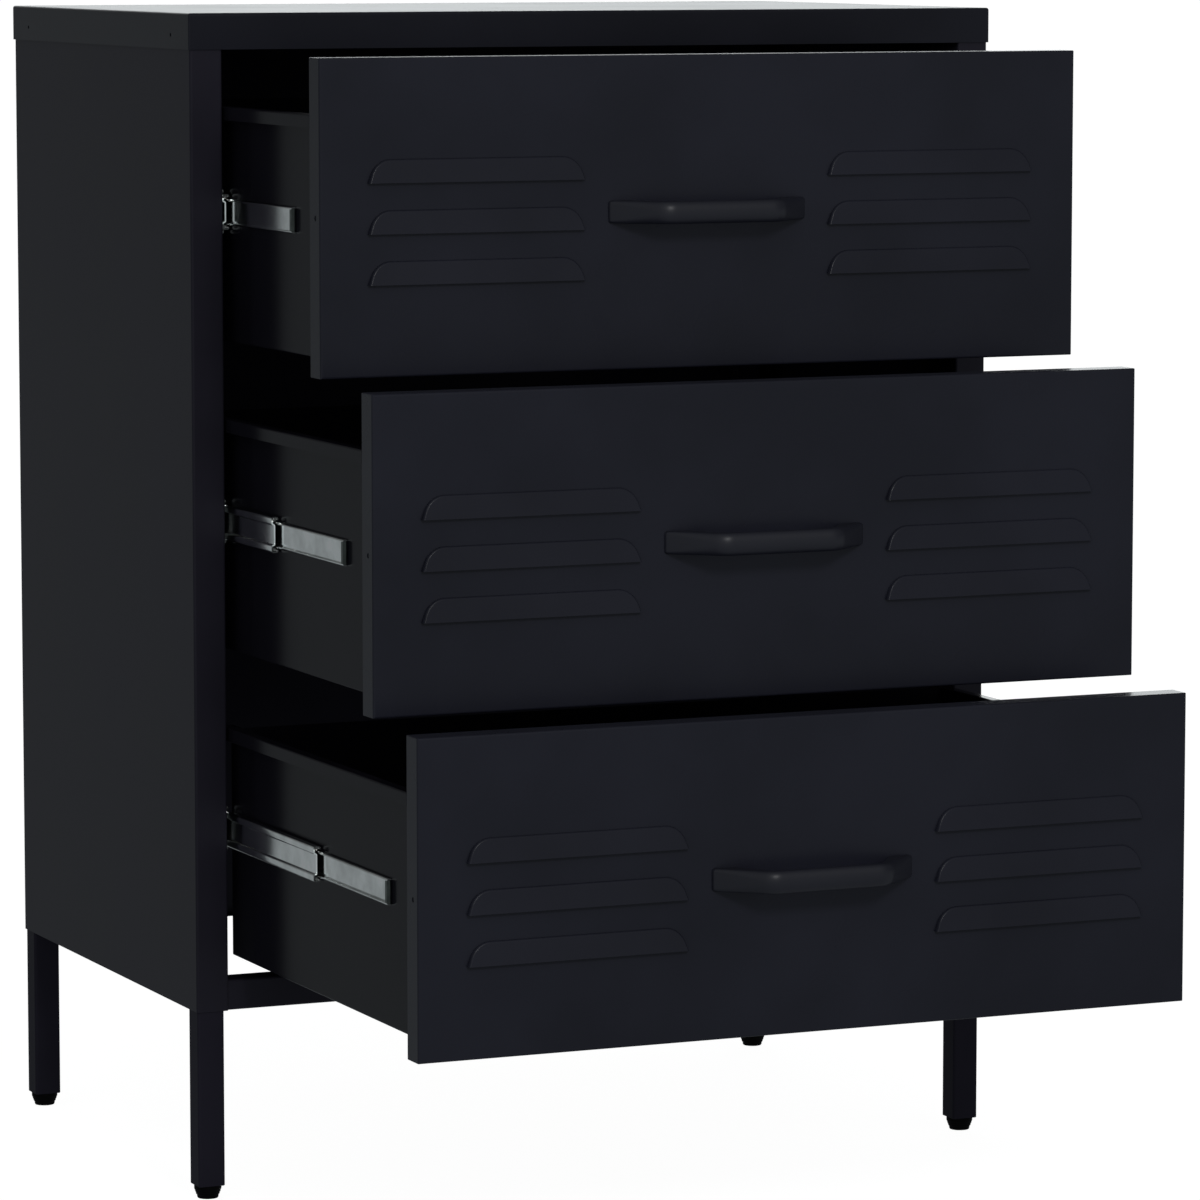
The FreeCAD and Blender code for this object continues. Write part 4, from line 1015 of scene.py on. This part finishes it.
class CABINET_OT_slides(bpy.types.Operator):
    """Telescopic slides: cabinet rails, middle rails and drawer rails"""

    bl_idname = "cabinet.slides"
    bl_label = "Slide rails"

    def execute(self, context):
        sizes = context.scene.cabinet_sizes
        zinc = finish("rail_zinc")
        for label in DRAWERS:
            for kind, body in (("cabinet", "cabinet"), ("middle", f"{label}_carriage"),
                               ("drawer", f"{label}_drawer")):
                low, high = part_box(f"{label}_left_{kind}_rail")
                start, legs = rail_legs(kind, low, high)
                for hand, sign in HANDS:
                    spot = on_hand(sign, along_y)
                    rail = folded_sheet(f"{label}_{hand}_{kind}_slide", start, legs,
                                        sizes.rail_steel, sizes.rail_bend, spot,
                                        (low.y, high.y), zinc)
                    if kind == "drawer":
                        self.front_end(sizes.rail_steel, rail, spot, low, high)
                        stop = self.stop(sizes.rail_steel, f"{label}_{hand}_stop", spot, low, high)
                        placed(stop, body)
                    placed(rail, body, f"{label}_{hand}_{kind}_rail")
        return {"FINISHED"}

    def front_end(self, steel, rail, spot, low, high):
        """Cuts a drawer rail's web back at its front end, between the flanges."""
        web = rectangle((high.x - steel - STOP["proud"], low.z + steel),
                        (high.x + CLEAR, high.z - steel))
        cut_away(rail, prism("web_end", web, (low.y - CLEAR, low.y + WEB_CUT), spot,
                             finish("rail_zinc")))

    def stop(self, steel, name, spot, low, high):
        """Moulded stop between a drawer rail's flanges, with a neck between their lips."""
        left, neck, right = low.x - STOP["proud"], low.x + steel, high.x - STOP["back"]
        lips = (low.z + STOP["neck"], high.z - STOP["neck"])
        flanges = (low.z + steel, high.z - steel)
        outline = [(left, lips[0]), (left, lips[1]), (neck, lips[1]), (neck, flanges[1]),
                   (right, flanges[1]), (right, flanges[0]), (neck, flanges[0]), (neck, lips[0])]
        return prism(name, outline, (low.y + STOP["start"], low.y + STOP["end"]), spot,
                     finish("stop_plastic"))


class CABINET_OT_balls(bpy.types.Operator):
    """Rows of bearing balls in their retainers"""

    bl_idname = "cabinet.balls"
    bl_label = "Bearing balls"

    def execute(self, context):
        sizes = context.scene.cabinet_sizes
        across, up, end = RETAINER["width"] / 2, RETAINER["height"] / 2, RETAINER["end"]
        for label in DRAWERS:
            for stage in STAGES:
                low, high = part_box(f"{label}_{stage}_ball_retainers")
                ends = [Vector((x, y, z)) for x in (low.x + across, high.x - across)
                        for z in (low.z + up, high.z - up) for y in (low.y + end, high.y - end)]
                mesh = bpy.data.meshes.new(f"{label}_{stage}_balls")
                mesh.from_pydata(ends, [(k, k + 1) for k in range(0, len(ends), 2)], [])
                rows = grown(linked(mesh.name, mesh), balls_on_lines(), {
                    "Ball": sizes.ball_width, "Pitch": sizes.ball_pitch,
                    "Material": finish("ball_steel")})
                shaded(rows.data, ROUND_EDGE)
                placed(rows, f"{label}_{stage}_retainers")
        return {"FINISHED"}


class CABINET_OT_carried(bpy.types.Operator):
    """Finishes on the parts that are shown as the frame has them"""

    bl_idname = "cabinet.carried"
    bl_label = "Finishes of the carried parts"

    def execute(self, context):
        for label in DRAWERS:
            for stage in STAGES:
                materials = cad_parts[f"{label}_{stage}_ball_retainers"].data.materials
                materials.clear()
                materials.append(finish("retainer_steel"))
        return {"FINISHED"}


# The studio

def for_the_eye(tree, kind, other, seen):
    """Ends a tree: the camera sees one shader, and light and reflections have the other."""
    eye = node(tree, "ShaderNodeLightPath").outputs["Is Camera Ray"]
    node(tree, kind, {"Surface": node(tree, "ShaderNodeMixShader",
                                      {"Fac": eye, 1: other, 2: seen})})


def directed(tree, direction, way, low, high, strength):
    """Brightness round one direction; low and high are cosines of the angle to it."""
    along = node(tree, "ShaderNodeVectorMath", {0: direction, 1: way}, operation="DOT_PRODUCT")
    return node(tree, "ShaderNodeMapRange", {
        "Value": along.outputs["Value"], "From Min": low, "From Max": high,
        "To Max": strength}, interpolation_type="SMOOTHSTEP")


class CABINET_OT_stage(bpy.types.Operator):
    """White floor, soft studio light and the camera"""

    bl_idname = "cabinet.stage"
    bl_label = "Studio"

    def execute(self, context):
        scene = context.scene
        self.floor()
        scene.world = self.surroundings()
        scene.collection.objects.link(self.lamp())
        scene.camera = self.camera()
        scene.collection.objects.link(scene.camera)
        scene.view_settings.view_transform = "Standard"
        return {"FINISHED"}

    def floor(self):
        """Plain floor: white to the eye, and dimmer towards the rear where the paint mirrors it."""
        material = bpy.data.materials.new("studio_floor")
        tree = cleared(material)
        tone = blended_colour(tree, noise(tree, 1.5, 2.0), (0.15, 0.15, 0.15, 1.0),
                              (0.16, 0.16, 0.16, 1.0))
        matt = node(tree, "ShaderNodeBsdfDiffuse", {"Color": tone})
        glow = node(tree, "ShaderNodeEmission", {"Strength": 0.97})
        seen = node(tree, "ShaderNodeAddShader", {0: matt, 1: glow})
        place = node(tree, "ShaderNodeTexCoord")
        split = node(tree, "ShaderNodeSeparateXYZ", {"Vector": place.outputs["Object"]})
        fade = node(tree, "ShaderNodeMapRange", {
            "Value": split.outputs["Y"], "From Min": -3.0, "From Max": 0.5, "To Min": 0.44,
            "To Max": 0.24})
        dim = node(tree, "ShaderNodeEmission", {"Color": (0.90, 0.97, 1.0, 1.0),
                                                "Strength": fade})
        for_the_eye(tree, "ShaderNodeOutputMaterial", dim, seen)
        half = 120.0
        corners = [(u, v, 0.0) for u, v in rectangle((-half, -half), (half, half))]
        mesh_piece("studio_floor", corners, [(0, 1, 2, 3)], material)

    def surroundings(self):
        """World that is white to the eye; its light is bright behind, soft in front, else dim."""
        world = bpy.data.worlds.new("studio")
        tree = cleared(world)
        direction = node(tree, "ShaderNodeTexCoord").outputs["Generated"]
        behind = directed(tree, direction, (0.45, 0.89, 0.08), 0.78, 0.97, 1.75)
        front = directed(tree, direction, (-0.35, -0.90, 0.25), 0.0, 0.95, 0.42)
        both = node(tree, "ShaderNodeMath", {0: behind, 1: front})
        total = node(tree, "ShaderNodeMath", {0: both, 1: 0.12})
        soft = node(tree, "ShaderNodeBackground", {"Color": (0.95, 0.99, 1.0, 1.0),
                                                   "Strength": total})
        white = node(tree, "ShaderNodeBackground", {"Color": (1.0, 1.0, 1.0, 1.0)})
        for_the_eye(tree, "ShaderNodeOutputWorld", soft, white)
        return world

    def lamp(self):
        """Square soft light, high in front."""
        light = bpy.data.lights.new("key_window", "AREA")
        light.shape = "SQUARE"
        light.size = 0.8
        light.energy = 50.0
        lamp = bpy.data.objects.new("key_window", light)
        lamp.location = (-0.40, -4.44, 2.8)
        towards = Vector((0.0, -0.4, 0.65)) - lamp.location
        lamp.rotation_euler = towards.to_track_quat("-Z", "Y").to_euler()
        return lamp

    def camera(self):
        """Camera at the place worked out from the photograph's perspective."""
        view = bpy.data.cameras.new("view")
        view.lens = 178.2
        view.sensor_width = 36.0
        view.clip_end = 400.0
        camera = bpy.data.objects.new("view", view)
        camera.location = (-2.19853, -5.00609, 1.16098)
        camera.rotation_euler = (math.radians(90.0 - 6.56), 0.0, math.radians(-23.72))
        return camera


class CABINET_PT_build(bpy.types.Panel):
    """Sizes, finishes and the steps that build the cabinet"""

    bl_idname = "CABINET_PT_build"
    bl_label = "Drawer cabinet"
    bl_space_type = "VIEW_3D"
    bl_region_type = "UI"
    bl_category = "Cabinet"

    def draw(self, context):
        for title, key, _ in GROUPS:
            group = getattr(context.scene, key)
            box = self.layout.box()
            box.label(text=title)
            for setting in group.__annotations__:
                box.prop(group, setting)
        for step in STEPS:
            self.layout.operator(step.bl_idname)


GROUPS = (("Sheet and folds", "cabinet_sizes", CabinetSizes),
          ("Louvres", "louvre_sizes", LouvreSizes),
          ("Handles", "handle_sizes", HandleSizes),
          ("Finishes", "cabinet_finish", CabinetFinish))
STEPS = (CABINET_OT_stage, CABINET_OT_cap, CABINET_OT_panels, CABINET_OT_legs, CABINET_OT_feet,
         CABINET_OT_fronts, CABINET_OT_louvres, CABINET_OT_handles, CABINET_OT_trays,
         CABINET_OT_screws, CABINET_OT_slides, CABINET_OT_balls, CABINET_OT_carried)


def register():
    for _, key, group in GROUPS:
        bpy.utils.register_class(group)
        setattr(bpy.types.Scene, key, PointerProperty(type=group))
    for kind in STEPS + (CABINET_PT_build,):
        bpy.utils.register_class(kind)


def unregister():
    for kind in (CABINET_PT_build,) + STEPS:
        bpy.utils.unregister_class(kind)
    for _, key, group in GROUPS:
        delattr(bpy.types.Scene, key)
        bpy.utils.unregister_class(group)


def main():
    register()
    for step in STEPS:
        space, name = step.bl_idname.split(".")
        getattr(getattr(bpy.ops, space), name)()


if __name__ == "__main__":
    main()
